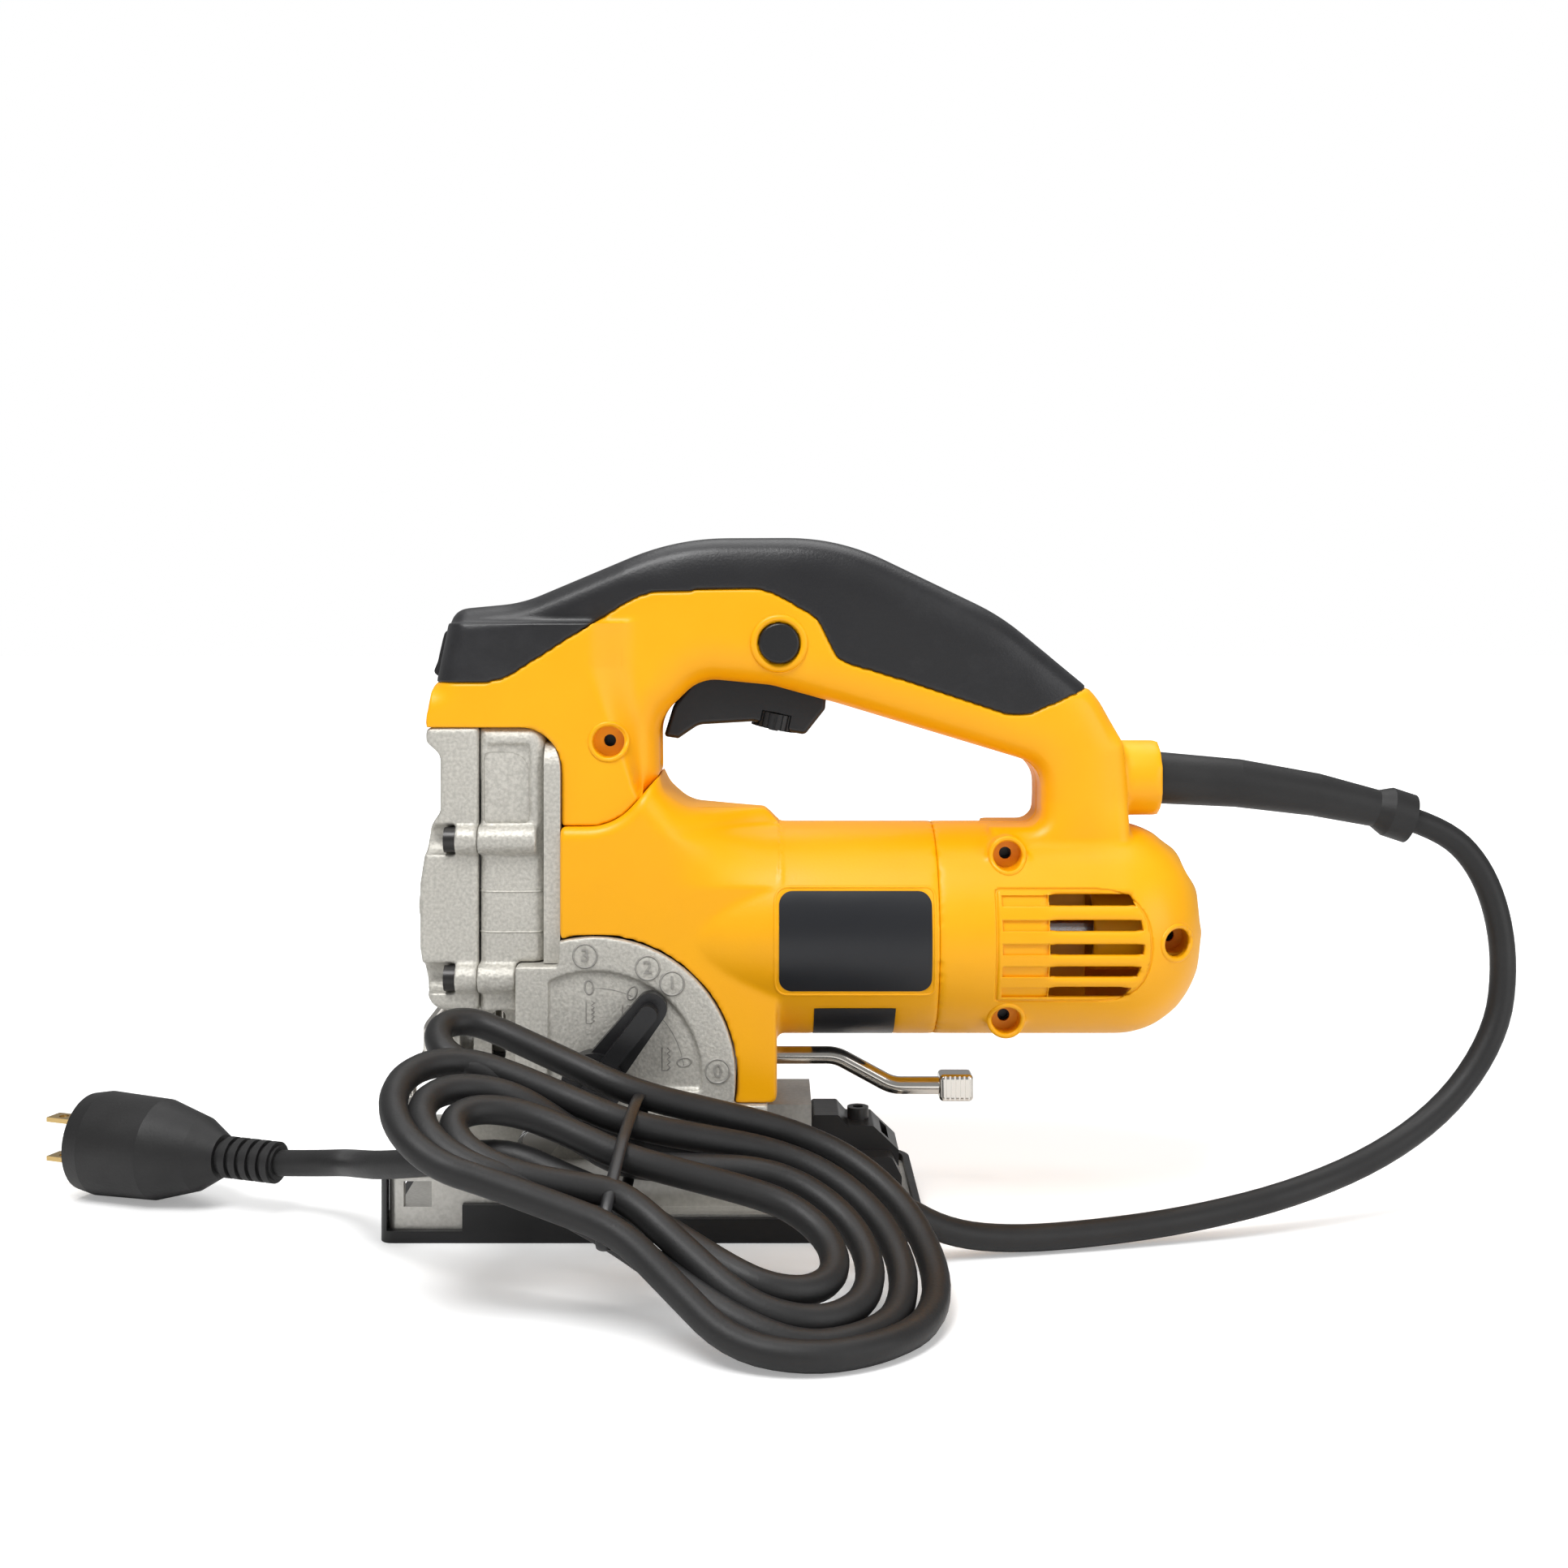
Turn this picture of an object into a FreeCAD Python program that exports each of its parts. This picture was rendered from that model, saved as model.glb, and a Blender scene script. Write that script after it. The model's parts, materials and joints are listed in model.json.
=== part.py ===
"""Corded orbital jigsaw with its lead tied in a hank, in millimetres.

Frame: +X towards the rear (cord end), -X towards the blade, -Y is the side that carries the
pendulum lever and the clamshell screws, +Z up. The origin is the middle of the sole.
"""
import FreeCAD
import Part
import math
import os

V = FreeCAD.Vector
AXIS_Y = V(0, 1, 0)

# --- driving dimensions -------------------------------------------------------------------
RUNNING = 0.05          # radial clearance of a turning or sliding fit
GAP = 0.4               # clearance between bodies that only pass each other
WALL = 2.8              # moulded and cast walls
EDGE_R = 4.0            # rounding of the moulded shells

MOTOR_Z = 88.9
BARREL_R = 33.5
BARREL_REAR_X = 87.0
BARREL_TAPER_X = 10.0   # the case widens from here to the foot's rear, up to the barrel
REAR_END_X = 171.4
REAR_DOME_R = 27.0
CASE_FRONT_X = -28.8
CASE_HALF = 29.0
FOOT_REAR_X = 37.6

HANDLE_HALF = 18.0
HEAD_HALF = 25.0
HEAD_REAR_X = -4.0
GRIP_DEPTH = 2.2

PLATE_THICK = 5.0
COVER_SEAM_X = -54.1
COVER_FRONT_X = -66.0
GEAR_CASE_HALF = 27.0
GEAR_CASE_TOP = 154.0
GEAR_CASE_LOW = 82.0
COVER_LOW = 67.0

SHAFT_R = 4.0
BEARING_R = 11.0
GUIDE_R = 1.5
GUIDE_X = -59.2
GUIDE_HALF = 13.0
BEARING_LONG = 7.0
CORE_R = 17.0
CORE_X = (38.0, 83.0)
STATOR_BORE_R = 17.8
COMMUTATOR_R = 12.5
COMMUTATOR_X = (95.0, 112.0)
BRUSH_X = 103.5
FAN_R = 25.0
FAN_X = (15.0, 27.0)
REAR_BEARING_X = 140.0

MODULE = 0.8
PINION_TEETH = 9
GEAR_TEETH = 38
GEAR_X = (-40.5, -35.3)
CRANK_RADIUS = 13.0
CRANK_PIN_R = 3.5
PLUNGER_X = -48.0
PLUNGER_R = 4.5
PLUNGER_TOP = 157.0
STROKE_HALF = 13.0
BLADE_CLAMP_Z = (39.0, 53.0)
BUSHING_R = 6.0
UPPER_BUSHING_Z = (139.0, 151.0)
BLADE_CLAMP_R = 6.0
COLLAR_R = 8.0

QUADRANT_X = -18.0
QUADRANT_Z = 47.5
QUADRANT_R = 43.0
QUADRANT_HALF = 31.0
QUADRANT_FRONT_X = -42.0
RECESS_R = 32.8
FLANGE_Z = (36.0, 39.5)
FLANGE_REAR_X = 34.7
LEVER_ANGLE = 52.0
LEVER_HUB_R = 9.4
LEVER_REACH = 33.0
NUMERAL_R = 37.6
NUMERAL_ANGLES = (3.8, 50.9, 64.3, 94.2)

SHOE_FRONT_X = -82.0
SHOE_LENGTH = 164.0
SHOE_HALF = 38.0
SOLE_THICK = 2.0
SHOE_PLATE_THICK = 3.0
SHOE_WALL_TOP = 19.0
FRONT_WALL_TOP = 22.4
FRONT_GAP_HALF = 33.0   # the front wall is open this far each side of the blade
SIDE_RIM_TOP = 11.5
RIM_THICK = 2.2
BEVEL_Z = 8.0
ARCH_R = 18.0
ARCH_WALL = 3.5
ARCH_X = (-12.0, 48.0)
SADDLE_HALF = 16.0
SADDLE_LOW = 23.0
BOLT_X = 30.0
BOLT_R = 3.0
SHOE_SLIDE = 8.0

TRIGGER_HALF = 6.0
DIAL_R = 7.25
DIAL_THICK = 5.0
DIAL_CENTRE = (37.1, 154.6)
DIAL_TILT = 12.0
BUTTON_R = 6.3
BUTTON_PLACE = (38.3, 179.7)
BUTTON_TRAVEL = 3.0

GLAND_Z = 136.4
GLAND_R = 12.0
GLAND_X = (144.0, 159.0)
RELIEF_R = 8.3
CORD_R = 4.0

SCREW_R = 1.9
SCREW_HEAD_R = 3.6
SCREW_SINK = 12.0       # depth of the counterbores in the -Y shell
SHELL_SCREWS = ((-14.2, 149.6, 4.7, HEAD_HALF), (108.6, 114.5, 4.3, 23.5), (108.1, 64.1, 4.3, 23.5),
                (159.8, 88.4, 4.3, 21.0))
VENT_X = 120.3
VENT_Z = (101.7, 94.4, 87.2, 80.3, 73.6)
VENT_HALF = 1.6
VENT_R = 28.0

RELIEF_END = (240.0, 0.0, 123.2)
GUARD_WIRE_R = 1.5
GUARD_HALF = 11.0
GUARD_TOP_X = -66.5
GUARD_TOP_Z = 75.0
ROLLER_X = -40.5
ROLLER_Z = 18.5
ROLLER_R = 5.0
FORK_PIVOT = (-28.0, 44.0)
FORK_PIN_R = 2.0
TRIGGER_PIVOT = (49.5, 166.5)
RELEASE_PIVOT = (-64.0, 182.0)
RELEASE_PIN_R = 1.2
LEVER_LEVEL = 47.6
LEVER_BOSS_R = 6.0
HEAD_CORNER_R = 13.0

# --- cord, hank and plug ---------------------------------------------------------------------
LEAD_ROUTE = [RELIEF_END, (251.5, 0, 119.4), (261.5, -0.5, 109.5), (267.5, -1.5, 95), (269.5, -3, 77),
              (266, -6, 57), (251, -10, 36), (227, -17.5, 21), (196, -27, 11.5), (162, -36, 6.4),
              (131, -43, 4.5), (106, -48, 4.4), (87, -52.8, 8), (72, -59, 18)]
TAIL_ROUTE = [(-38, -84, 41), (-58, -77, 36), (-76, -64, 31), (-87.2, -45, 26), (-94.3, -28.6, 21.5),
              (-106, -17.4, 18), (-118, -13, 16.8)]
HANK_OUTLINE = [(-66, -46.5, 8), (-75, -66, 8), (-76, -92, 10), (-60, -104, 10), (-8, -121, 20),
                (26, -142.5, 20), (50, -142.5, 20), (75, -120, 20), (87, -90, 20), (84, -62, 14),
                (70, -47, 10)]
HANK_SLOPE_X = -0.298
HANK_SLOPE_Y = 0.433
HANK_CENTRE = (0.0, -90.0, 33.5)
HANK_THICK = 18.0
HANK_LOW = 0.3
TIE_X = (-6.5, -3.5)
TIE_THICK = 1.2
PLUG_YAW = 20.0
PLUG_LONG = 72.0
BLADE_SPACING = 12.7
BLADE_REACH = 15.5

# --- outlines, as corners (along, up, corner radius) ---------------------------------------
HANDLE_TOP = [(-64.0, 190.2, 6), (-42.5, 192.2, 40), (6, 212.6, 80), (57, 212.8, 70),
              (108, 188.3, 70), (138, 163.5, 25), (146.4, 148, 3)]
REAR_LEG = [(148.2, 118.5, 0), (150, 108, 0), (104, 108, 0), (104, 122.2, 0)]
HAND_GAP = [(120.6, 122.2, 4.5), (120.6, 141.4, 9), (57, 160.6, 8), (36, 166.4, 14),
            (13.5, 168.6, 12), (0.7, 156, 12), (0.9, 138.4, 0)]
CASE_SEAM = [(-12.5, 123.6, 18), (CASE_FRONT_X, 123.6, 0)]
HEAD_FRONT = [(CASE_FRONT_X, GEAR_CASE_TOP, HEAD_CORNER_R), (-70.8, GEAR_CASE_TOP, 0), (-68.6, 167.6, 0)]
SHELL_OUTLINE = HANDLE_TOP + REAR_LEG + HAND_GAP + CASE_SEAM + HEAD_FRONT
GRIP_LINE = [(-80, 167.7, 0), (-48, 167.7, 20), (-4, 195.6, 25), (34, 196.6, 20), (50, 187.6, 8),
             (56.5, 174.2, 8), (74, 169, 12), (113, 156.2, 14), (137, 166.5, 0), (160, 190, 0)]


# --- shape helpers -------------------------------------------------------------------------
def box(x_span, y_span, z_span):
    """Block between two values on each axis."""
    size = [b - a for a, b in (x_span, y_span, z_span)]
    return Part.makeBox(*size, V(x_span[0], y_span[0], z_span[0]))


def rod(radius, start, end):
    """Round bar between two points."""
    along = V(*end) - V(*start)
    return Part.makeCylinder(radius, along.Length, V(*start), along)


def ring(outer, inner, start, end):
    """Round tube between two points."""
    return rod(outer, start, end).cut(rod(inner, start, end))


def rod_x(radius, x_span, y=0.0, z=MOTOR_Z):
    """Round bar along X."""
    return rod(radius, (x_span[0], y, z), (x_span[1], y, z))


def ring_x(outer, inner, x_span, y=0.0, z=MOTOR_Z):
    """Round tube along X."""
    return rod_x(outer, x_span, y, z).cut(rod_x(inner, x_span, y, z))


def rod_y(radius, x, z, y_span):
    """Round bar along Y."""
    return rod(radius, (x, y_span[0], z), (x, y_span[1], z))


def rod_z(radius, x, y, z_span):
    """Round bar along Z."""
    return rod(radius, (x, y, z_span[0]), (x, y, z_span[1]))


def corner_arc(before, corner, after, radius):
    """Start, middle and end of the arc that rounds one corner."""
    back = (before - corner).normalize()
    ahead = (after - corner).normalize()
    half = back.getAngle(ahead) / 2
    reach = radius / math.tan(half)
    inward = (back + ahead).normalize()
    middle = corner + inward * (radius / math.sin(half) - radius)
    return corner + back * reach, middle, corner + ahead * reach


def rounded_wire(corners, to_space, closed=True):
    """Wire of straight runs and tangent arcs through corners (a, b, radius)."""
    points = [to_space(a, b) for a, b, _ in corners]
    radii = [radius for _, _, radius in corners]
    count = len(points)
    edges = []
    cursor = None
    first = None
    for i in range(count):
        inner = closed or 0 < i < count - 1
        if radii[i] > 0 and inner:
            start, middle, end = corner_arc(points[i - 1], points[i], points[(i + 1) % count], radii[i])
        else:
            start, middle, end = points[i], None, points[i]
        if cursor is not None and (start - cursor).Length > 1e-6:
            edges.append(Part.makeLine(cursor, start))
        if middle is not None:
            edges.append(Part.Arc(start, middle, end).toShape())
        first = start if first is None else first
        cursor = end
    if closed and (first - cursor).Length > 1e-6:
        edges.append(Part.makeLine(cursor, first))
    return Part.Wire(edges)


PLANES = {
    "xz": (lambda low: (lambda a, b: V(a, low, b)), V(0, 1, 0)),
    "yz": (lambda low: (lambda a, b: V(low, a, b)), V(1, 0, 0)),
    "xy": (lambda low: (lambda a, b: V(a, b, low)), V(0, 0, 1)),
}


def prism(corners, plane, low, high):
    """Outline pulled from low to high along its plane's normal."""
    to_space, normal = PLANES[plane]
    face = Part.Face(rounded_wire(corners, to_space(low)))
    return face.extrude(normal * (high - low))


def slab(x_span, z_span, half, radius=0.0):
    """Block centred on Y with rounded upright corners in side view."""
    corners = [(x_span[0], z_span[0], radius), (x_span[1], z_span[0], radius),
               (x_span[1], z_span[1], radius), (x_span[0], z_span[1], radius)]
    return prism(corners, "xz", -half, half)


def soften(solid, radius, chosen):
    """Round the edges whose middle point passes the test."""
    edges = [edge for edge in solid.Edges if chosen(edge.CenterOfMass)]
    return solid.makeFillet(radius, edges) if edges else solid


def round_sides(solid, half, radius):
    """Round the outer edges of both flat sides of a body centred on Y."""
    return soften(solid, radius, lambda p: abs(abs(p.y) - half) < 0.01)


def fuse(solids):
    """One solid from several that overlap."""
    return solids[0].multiFuse(solids[1:]).removeSplitter()


def group(solids):
    """Several separate solids kept in one node."""
    return Part.makeCompound(solids)


def turned(solid, origin, axis, degrees):
    """Copy of a solid turned about an axis through a point."""
    copy = solid.copy()
    copy.rotate(V(*origin), V(*axis), degrees)
    return copy


def gear_disc(teeth, x_span, centre_z, first_angle, thinner):
    """Straight-toothed gear along X, its teeth slightly thin so that the mesh runs free."""
    pitch_r = MODULE * teeth / 2
    root_r = pitch_r - 1.2 * MODULE
    tip_r = pitch_r + 0.85 * MODULE
    step = 360.0 / teeth
    corners = []
    for tooth in range(teeth):
        middle = first_angle + tooth * step
        for offset, radius in ((-0.30, root_r), (-0.12, tip_r), (0.12, tip_r), (0.30, root_r)):
            angle = math.radians(middle + offset * step * thinner)
            corners.append((radius * math.cos(angle), centre_z + radius * math.sin(angle), 0))
    return prism(corners, "yz", *x_span)


# --- housing: moulded shells and grip ------------------------------------------------------
def outline_body(shrink, head_half, handle_half, radius):
    """Head, handle and rear leg as one solid, shrunk evenly for the inner surfaces."""
    face = Part.Face(rounded_wire(SHELL_OUTLINE, PLANES["xz"][0](0)))
    if shrink:
        face = face.makeOffset2D(-shrink)
    lower = face.copy()
    lower.translate(V(0, -handle_half + shrink, 0))
    handle = lower.extrude(AXIS_Y * 2 * (handle_half - shrink))
    upper = face.copy()
    upper.translate(V(0, -head_half + shrink, 0))
    head = upper.extrude(AXIS_Y * 2 * (head_half - shrink))
    head = head.common(slab((-90, HEAD_REAR_X - shrink), (100, 186 - shrink), 60))
    if radius:
        handle = round_sides(handle, handle_half, radius)
    return head.fuse(handle)


def rear_dome(shrink):
    """Round rear motor housing about the motor axis."""
    radius = BARREL_R - shrink
    end = REAR_END_X - shrink
    corners = [(BARREL_REAR_X, MOTOR_Z, 0), (BARREL_REAR_X, MOTOR_Z + radius, 0),
               (end, MOTOR_Z + radius, REAR_DOME_R - shrink), (end, MOTOR_Z, 0)]
    face = Part.Face(rounded_wire(corners, PLANES["xz"][0](0)))
    return face.revolve(V(0, 0, MOTOR_Z), V(1, 0, 0), 360)


def grip_region():
    """Everything above the line where the soft grip meets the hard shell."""
    corners = GRIP_LINE + [(160, 230, 0), (-80, 230, 0)]
    return prism(corners, "xz", -60, 60)


def grip_body():
    """Rubber overmould on the top of the handle and head."""
    outer = outline_body(0, HEAD_HALF, HANDLE_HALF, EDGE_R)
    inner = outline_body(GRIP_DEPTH, HEAD_HALF, HANDLE_HALF, 0)
    return outer.common(grip_region()).cut(inner).cut(release_recess()).cut(release_pin())


def release_recess():
    """Pocket in the front of the head that takes the release lever."""
    corners = [(-90, 166.5, 0), (-64.4, 166.5, 0), (-60.4, 186.5, 0), (-90, 186.5, 0)]
    return prism(corners, "xz", -13.4, 13.4)


def shell_bosses():
    """Screw bosses, bearing seat and gland between the two shells, all solid."""
    bosses = [rod_y(hole_r + 1.6, x, z, (-face, face)) for x, z, hole_r, face in SHELL_SCREWS]
    bosses.append(rod_x(BEARING_R + WALL, (REAR_BEARING_X - 3, REAR_END_X - WALL)))
    bosses.append(rod_x(GLAND_R, GLAND_X, 0, GLAND_Z))
    for side in (-1, 1):
        bosses.append(box((BRUSH_X - 8, BRUSH_X + 8), sorted((side * 22.0, side * 31.5)), (81, 97)))
    return bosses


def shell_voids():
    """Openings shared by both shells: screws, bearing, gland, trigger, vents, brushes."""
    cuts = [rod_x(BEARING_R, (REAR_BEARING_X - 5, REAR_BEARING_X + BEARING_LONG))]
    cuts.append(rod_x(SHAFT_R + 1, (REAR_BEARING_X, REAR_BEARING_X + BEARING_LONG + 5)))
    cuts.append(rod_x(RELIEF_R, (GLAND_X[0] - 12, GLAND_X[1] + 5), 0, GLAND_Z))
    cuts.append(box((-4, 55.5), (-TRIGGER_HALF - 1.2, TRIGGER_HALF + 1.2), (140, 178)))
    cuts.append(trigger_pin())
    cuts.append(release_pin())
    cuts.append(rod_z(PLUNGER_R + 1.5, PLUNGER_X, 0, (150, 162)))
    cuts.append(rod_y(BUTTON_R + RUNNING, *BUTTON_PLACE, (-40, -2)))
    for x, z, hole_r, face in SHELL_SCREWS:
        cuts.append(rod_y(hole_r, x, z, (-60, SCREW_SINK - face)))
        cuts.append(rod_y(SCREW_R, x, z, (-40, 12)))
    for side in (-1, 1):
        cuts.append(box((BRUSH_X - 6, BRUSH_X + 6), sorted((side * 10.0, side * 29.0)), (83, 95)))
    for z in VENT_Z:
        reach = VENT_X + 0.7 + math.sqrt(VENT_R ** 2 - (z - MOTOR_Z) ** 2)
        for side in (-1, 1):
            cuts.append(box((VENT_X, reach), sorted((side * 16, side * 40)), (z - VENT_HALF, z + VENT_HALF)))
    return cuts


def shell_body():
    """Both moulded shells before they are split along the middle."""
    hard = outline_body(0, HEAD_HALF, HANDLE_HALF, EDGE_R).cut(grip_body())
    outer = hard.fuse(rear_dome(0))
    hollow = outline_body(GRIP_DEPTH + WALL, HEAD_HALF, HANDLE_HALF, 0).fuse(rear_dome(WALL))
    hollow = hollow.fuse(rod_x(BARREL_R - WALL, (BARREL_REAR_X - 1, BARREL_REAR_X + 5)))
    body = outer.cut(hollow).fuse(shell_bosses())
    body = body.cut(release_recess())
    for cut in shell_voids():
        body = body.cut(cut)
    return body.removeSplitter()


def split(solid):
    """The -Y and +Y halves of a body, each as its largest solid."""
    halves = []
    for span in ((-60, 0), (0, 60)):
        half = solid.common(box((-120, 220), span, (-10, 240)))
        halves.append(max(half.Solids, key=lambda s: s.Volume))
    return halves


def field_case():
    """One-piece motor case with its foot, and the arc that clears the pendulum housing."""
    corners = [(CASE_FRONT_X, 123.6, 0), (-12.5, 123.6, 18), (0.9, 138.4, 0), (2.6, 133.5, 6),
               (9.5, 128.2, 10), (37, 127, 2), (42, 121.5, 0), (60, 118, 0), (60, 70, 0),
               (FOOT_REAR_X, 62, 0), (FOOT_REAR_X, FLANGE_Z[1], 2), (20, FLANGE_Z[1], 0),
               (CASE_FRONT_X, 60, 0)]
    front = prism(corners, "xz", -CASE_HALF, CASE_HALF)
    front = soften(front, 3.0, lambda p: abs(abs(p.y) - CASE_HALF) < 0.01 and p.z > 125)
    front = front.cut(slab((FOOT_REAR_X, 70), (50, 125), 60).cut(rod_x(BARREL_R, (0, 90))))
    taper = Part.makeCone(CASE_HALF - 0.5, BARREL_R, FOOT_REAR_X - BARREL_TAPER_X,
                          V(BARREL_TAPER_X, 0, MOTOR_Z), V(1, 0, 0))
    body = front.fuse([taper, rod_x(BARREL_R, (FOOT_REAR_X, BARREL_REAR_X))])
    body = body.cut(rod_x(FAN_R + 2.0, (CASE_FRONT_X + 4, CORE_X[0])))
    body = body.cut(rod_x(BARREL_R - WALL, (CORE_X[0] - 1, BARREL_REAR_X)))
    body = body.cut(rod_x(BEARING_R + WALL + RUNNING, (CASE_FRONT_X - 1, CASE_FRONT_X + 10)))
    body = body.cut(rod_y(QUADRANT_R + GAP, QUADRANT_X, QUADRANT_Z, (-60, 60)))
    body = body.cut(box((CASE_FRONT_X - 1, 0), (-60, 60), (30, QUADRANT_Z + 20)))
    foot_room = box((18, FOOT_REAR_X - WALL), (-CASE_HALF + WALL, CASE_HALF - WALL), (41.5, 58))
    lever_slot = box((FOOT_REAR_X - 5, FOOT_REAR_X + 5), (-20, 5), (42.4, 53))
    body = body.cut(foot_room).cut(lever_slot).cut(rod_z(BOLT_R + GAP, BOLT_X, 0, (30, 60)))
    for part in (label_space(-1), label_space(1), lower_label_space()):
        body = body.cut(part)
    return max(body.Solids, key=lambda s: s.Volume)


def label_space(side):
    """Shallow pocket on the barrel's side for the blank plate."""
    skin = ring_x(BARREL_R + 1, BARREL_R - 0.8, (30, 90))
    corners = [(38.2, 74, 4), (84.6, 74, 4), (84.6, 104.5, 4), (38.2, 104.5, 4)]
    window = prism(corners, "xz", *sorted((side * 20.0, side * 40.0)))
    return skin.common(window)


def lower_label_space():
    """Shallow pocket under the barrel for the blank rating plate."""
    skin = ring_x(BARREL_R + 1, BARREL_R - 0.8, (30, 90))
    return skin.common(box((49, 74), (-27, 27), (50, 68)))


def label_plates():
    """Blank plates that fill their pockets flush with the barrel."""
    flush = rod_x(BARREL_R, (20, 90))
    return group([space.common(flush) for space in (label_space(-1), label_space(1), lower_label_space())])


# --- housing: castings ---------------------------------------------------------------------
def lug_rows():
    """Heights and sides of the four long screws of the gear case."""
    return [(side * (GEAR_CASE_HALF - 2.5), z) for side in (-1, 1) for z in (119.5, 77.0)]


def lug_rear(z):
    """Rear end of a screw lug of the gear case."""
    return COVER_SEAM_X + 18.1 if z > 100 else QUADRANT_FRONT_X - GAP


def head_corner():
    """Rounded corner of the shells that reaches down over the castings."""
    centre_x = CASE_FRONT_X - HEAD_CORNER_R
    centre_z = GEAR_CASE_TOP - HEAD_CORNER_R
    corner = box((centre_x, CASE_FRONT_X + 1), (-60, 60), (centre_z, GEAR_CASE_TOP + 1))
    return corner.cut(rod_y(HEAD_CORNER_R - RUNNING, centre_x, centre_z, (-60, 60)))


def gear_case():
    """Cast rear half of the gear case, hollow and open to the front and rear."""
    plate_front = CASE_FRONT_X - PLATE_THICK
    corners = [(COVER_SEAM_X, COVER_LOW, 0), (QUADRANT_FRONT_X - GAP, COVER_LOW, 0),
               (QUADRANT_FRONT_X - GAP, GEAR_CASE_LOW, 0), (plate_front, GEAR_CASE_LOW, 0),
               (plate_front, GEAR_CASE_TOP, 5), (COVER_SEAM_X, GEAR_CASE_TOP, 0)]
    body = prism(corners, "xz", -GEAR_CASE_HALF + 2, GEAR_CASE_HALF - 2)
    body = soften(body, 4.0, lambda p: abs(abs(p.y) - GEAR_CASE_HALF + 2) < 0.01 and p.z > 90)
    half = GEAR_CASE_HALF - 2 - 3
    body = body.cut(box((COVER_SEAM_X - 1, plate_front + 1), (-half, half), (84, 128)))
    body = body.cut(box((COVER_SEAM_X - 1, -41.6), (-half, half), (COVER_LOW + 7, 138)))
    for side in (-1, 1):
        face = side * (GEAR_CASE_HALF - 2)
        body = body.cut(box((-52, -38), sorted((face, face - side * 1.6)), (125.5, 149)))
    for y, z in lug_rows():
        body = body.fuse(rod_x(4.5, (COVER_SEAM_X, lug_rear(z)), y, z))
        body = body.cut(rod_x(SCREW_R, (COVER_SEAM_X - 1, lug_rear(z) - 2), y, z))
    for span in (UPPER_BUSHING_Z, lower_bushing_z()):
        body = body.cut(rod_z(BUSHING_R, PLUNGER_X, 0, span))
    body = body.cut(rod_z(PLUNGER_R + 0.5, PLUNGER_X, 0, (60, 160))).cut(head_corner())
    return max(body.Solids, key=lambda s: s.Volume)


def lower_bushing_z():
    """Span of the lower plunger bushing, in the floor of the gear case."""
    return COVER_LOW + 1.5, COVER_LOW + 7


def gear_case_cover():
    """Cast front cover with its bulge, nose cap and screw lugs."""
    half = GEAR_CASE_HALF - 2
    corners = [(COVER_SEAM_X, COVER_LOW, 0), (COVER_SEAM_X, GEAR_CASE_TOP, 0), (-70.4, GEAR_CASE_TOP, 1.8),
               (-70.4, 149.5, 1.8), (COVER_FRONT_X, 145.5, 4), (COVER_FRONT_X, 128, 3), (-69.5, 123, 6),
               (-72.2, 106, 12), (-72.2, 86, 12), (-69, COVER_LOW, 6)]
    body = round_sides(prism(corners, "xz", -half, half), half, 1.5)
    nose = rod_x(5.5, (-76.2, -68), 0, 96)
    body = body.fuse(soften(nose, 2.0, lambda p: p.x < -76))
    inner = half - 3
    body = body.cut(box((COVER_FRONT_X + 3, COVER_SEAM_X + 1), (-inner, inner), (80, 150)))
    for y, z in lug_rows():
        body = body.fuse(rod_x(4.5, (-64, COVER_SEAM_X), y, z))
        body = body.cut(rod_x(4.6, (-80, -61), y, z))
        body = body.cut(rod_x(SCREW_R + 0.3, (-80, COVER_SEAM_X + 1), y, z))
    body = body.cut(rod_z(PLUNGER_R + 1.5, PLUNGER_X, 0, (60, 90)))
    for side in (-1, 1):
        body = body.cut(rod_z(GUARD_WIRE_R, GUARD_TOP_X, side * GUARD_HALF, (60, GUARD_TOP_Z)))
    return max(body.Solids, key=lambda s: s.Volume)


def bearing_plate():
    """Cast plate between gear case and motor case: bearing boss, gear axle seat."""
    plate_front = CASE_FRONT_X - PLATE_THICK
    corners = [(-GEAR_CASE_HALF, GEAR_CASE_LOW, 0), (GEAR_CASE_HALF, GEAR_CASE_LOW, 0),
               (GEAR_CASE_HALF, 149.5, 8), (-GEAR_CASE_HALF, 149.5, 8)]
    body = prism(corners, "yz", plate_front, CASE_FRONT_X)
    body = body.common(slab((plate_front - 1, CASE_FRONT_X + 1), (0, 150.5), 60))
    body = body.fuse(rod_x(BEARING_R + WALL, (CASE_FRONT_X - 1, CASE_FRONT_X + 9)))
    body = body.cut(rod_x(BEARING_R, (CASE_FRONT_X + 1, CASE_FRONT_X + 20)))
    body = body.cut(rod_x(SHAFT_R + 1.2, (plate_front - 1, CASE_FRONT_X + 5)))
    body = body.cut(rod_x(SHAFT_R, (plate_front - 1, CASE_FRONT_X + 5), 0, gear_z()))
    return body.cut(head_corner())


def gear_z():
    """Height of the reduction gear's axis."""
    return MOTOR_Z + MODULE * (PINION_TEETH + GEAR_TEETH) / 2


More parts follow.
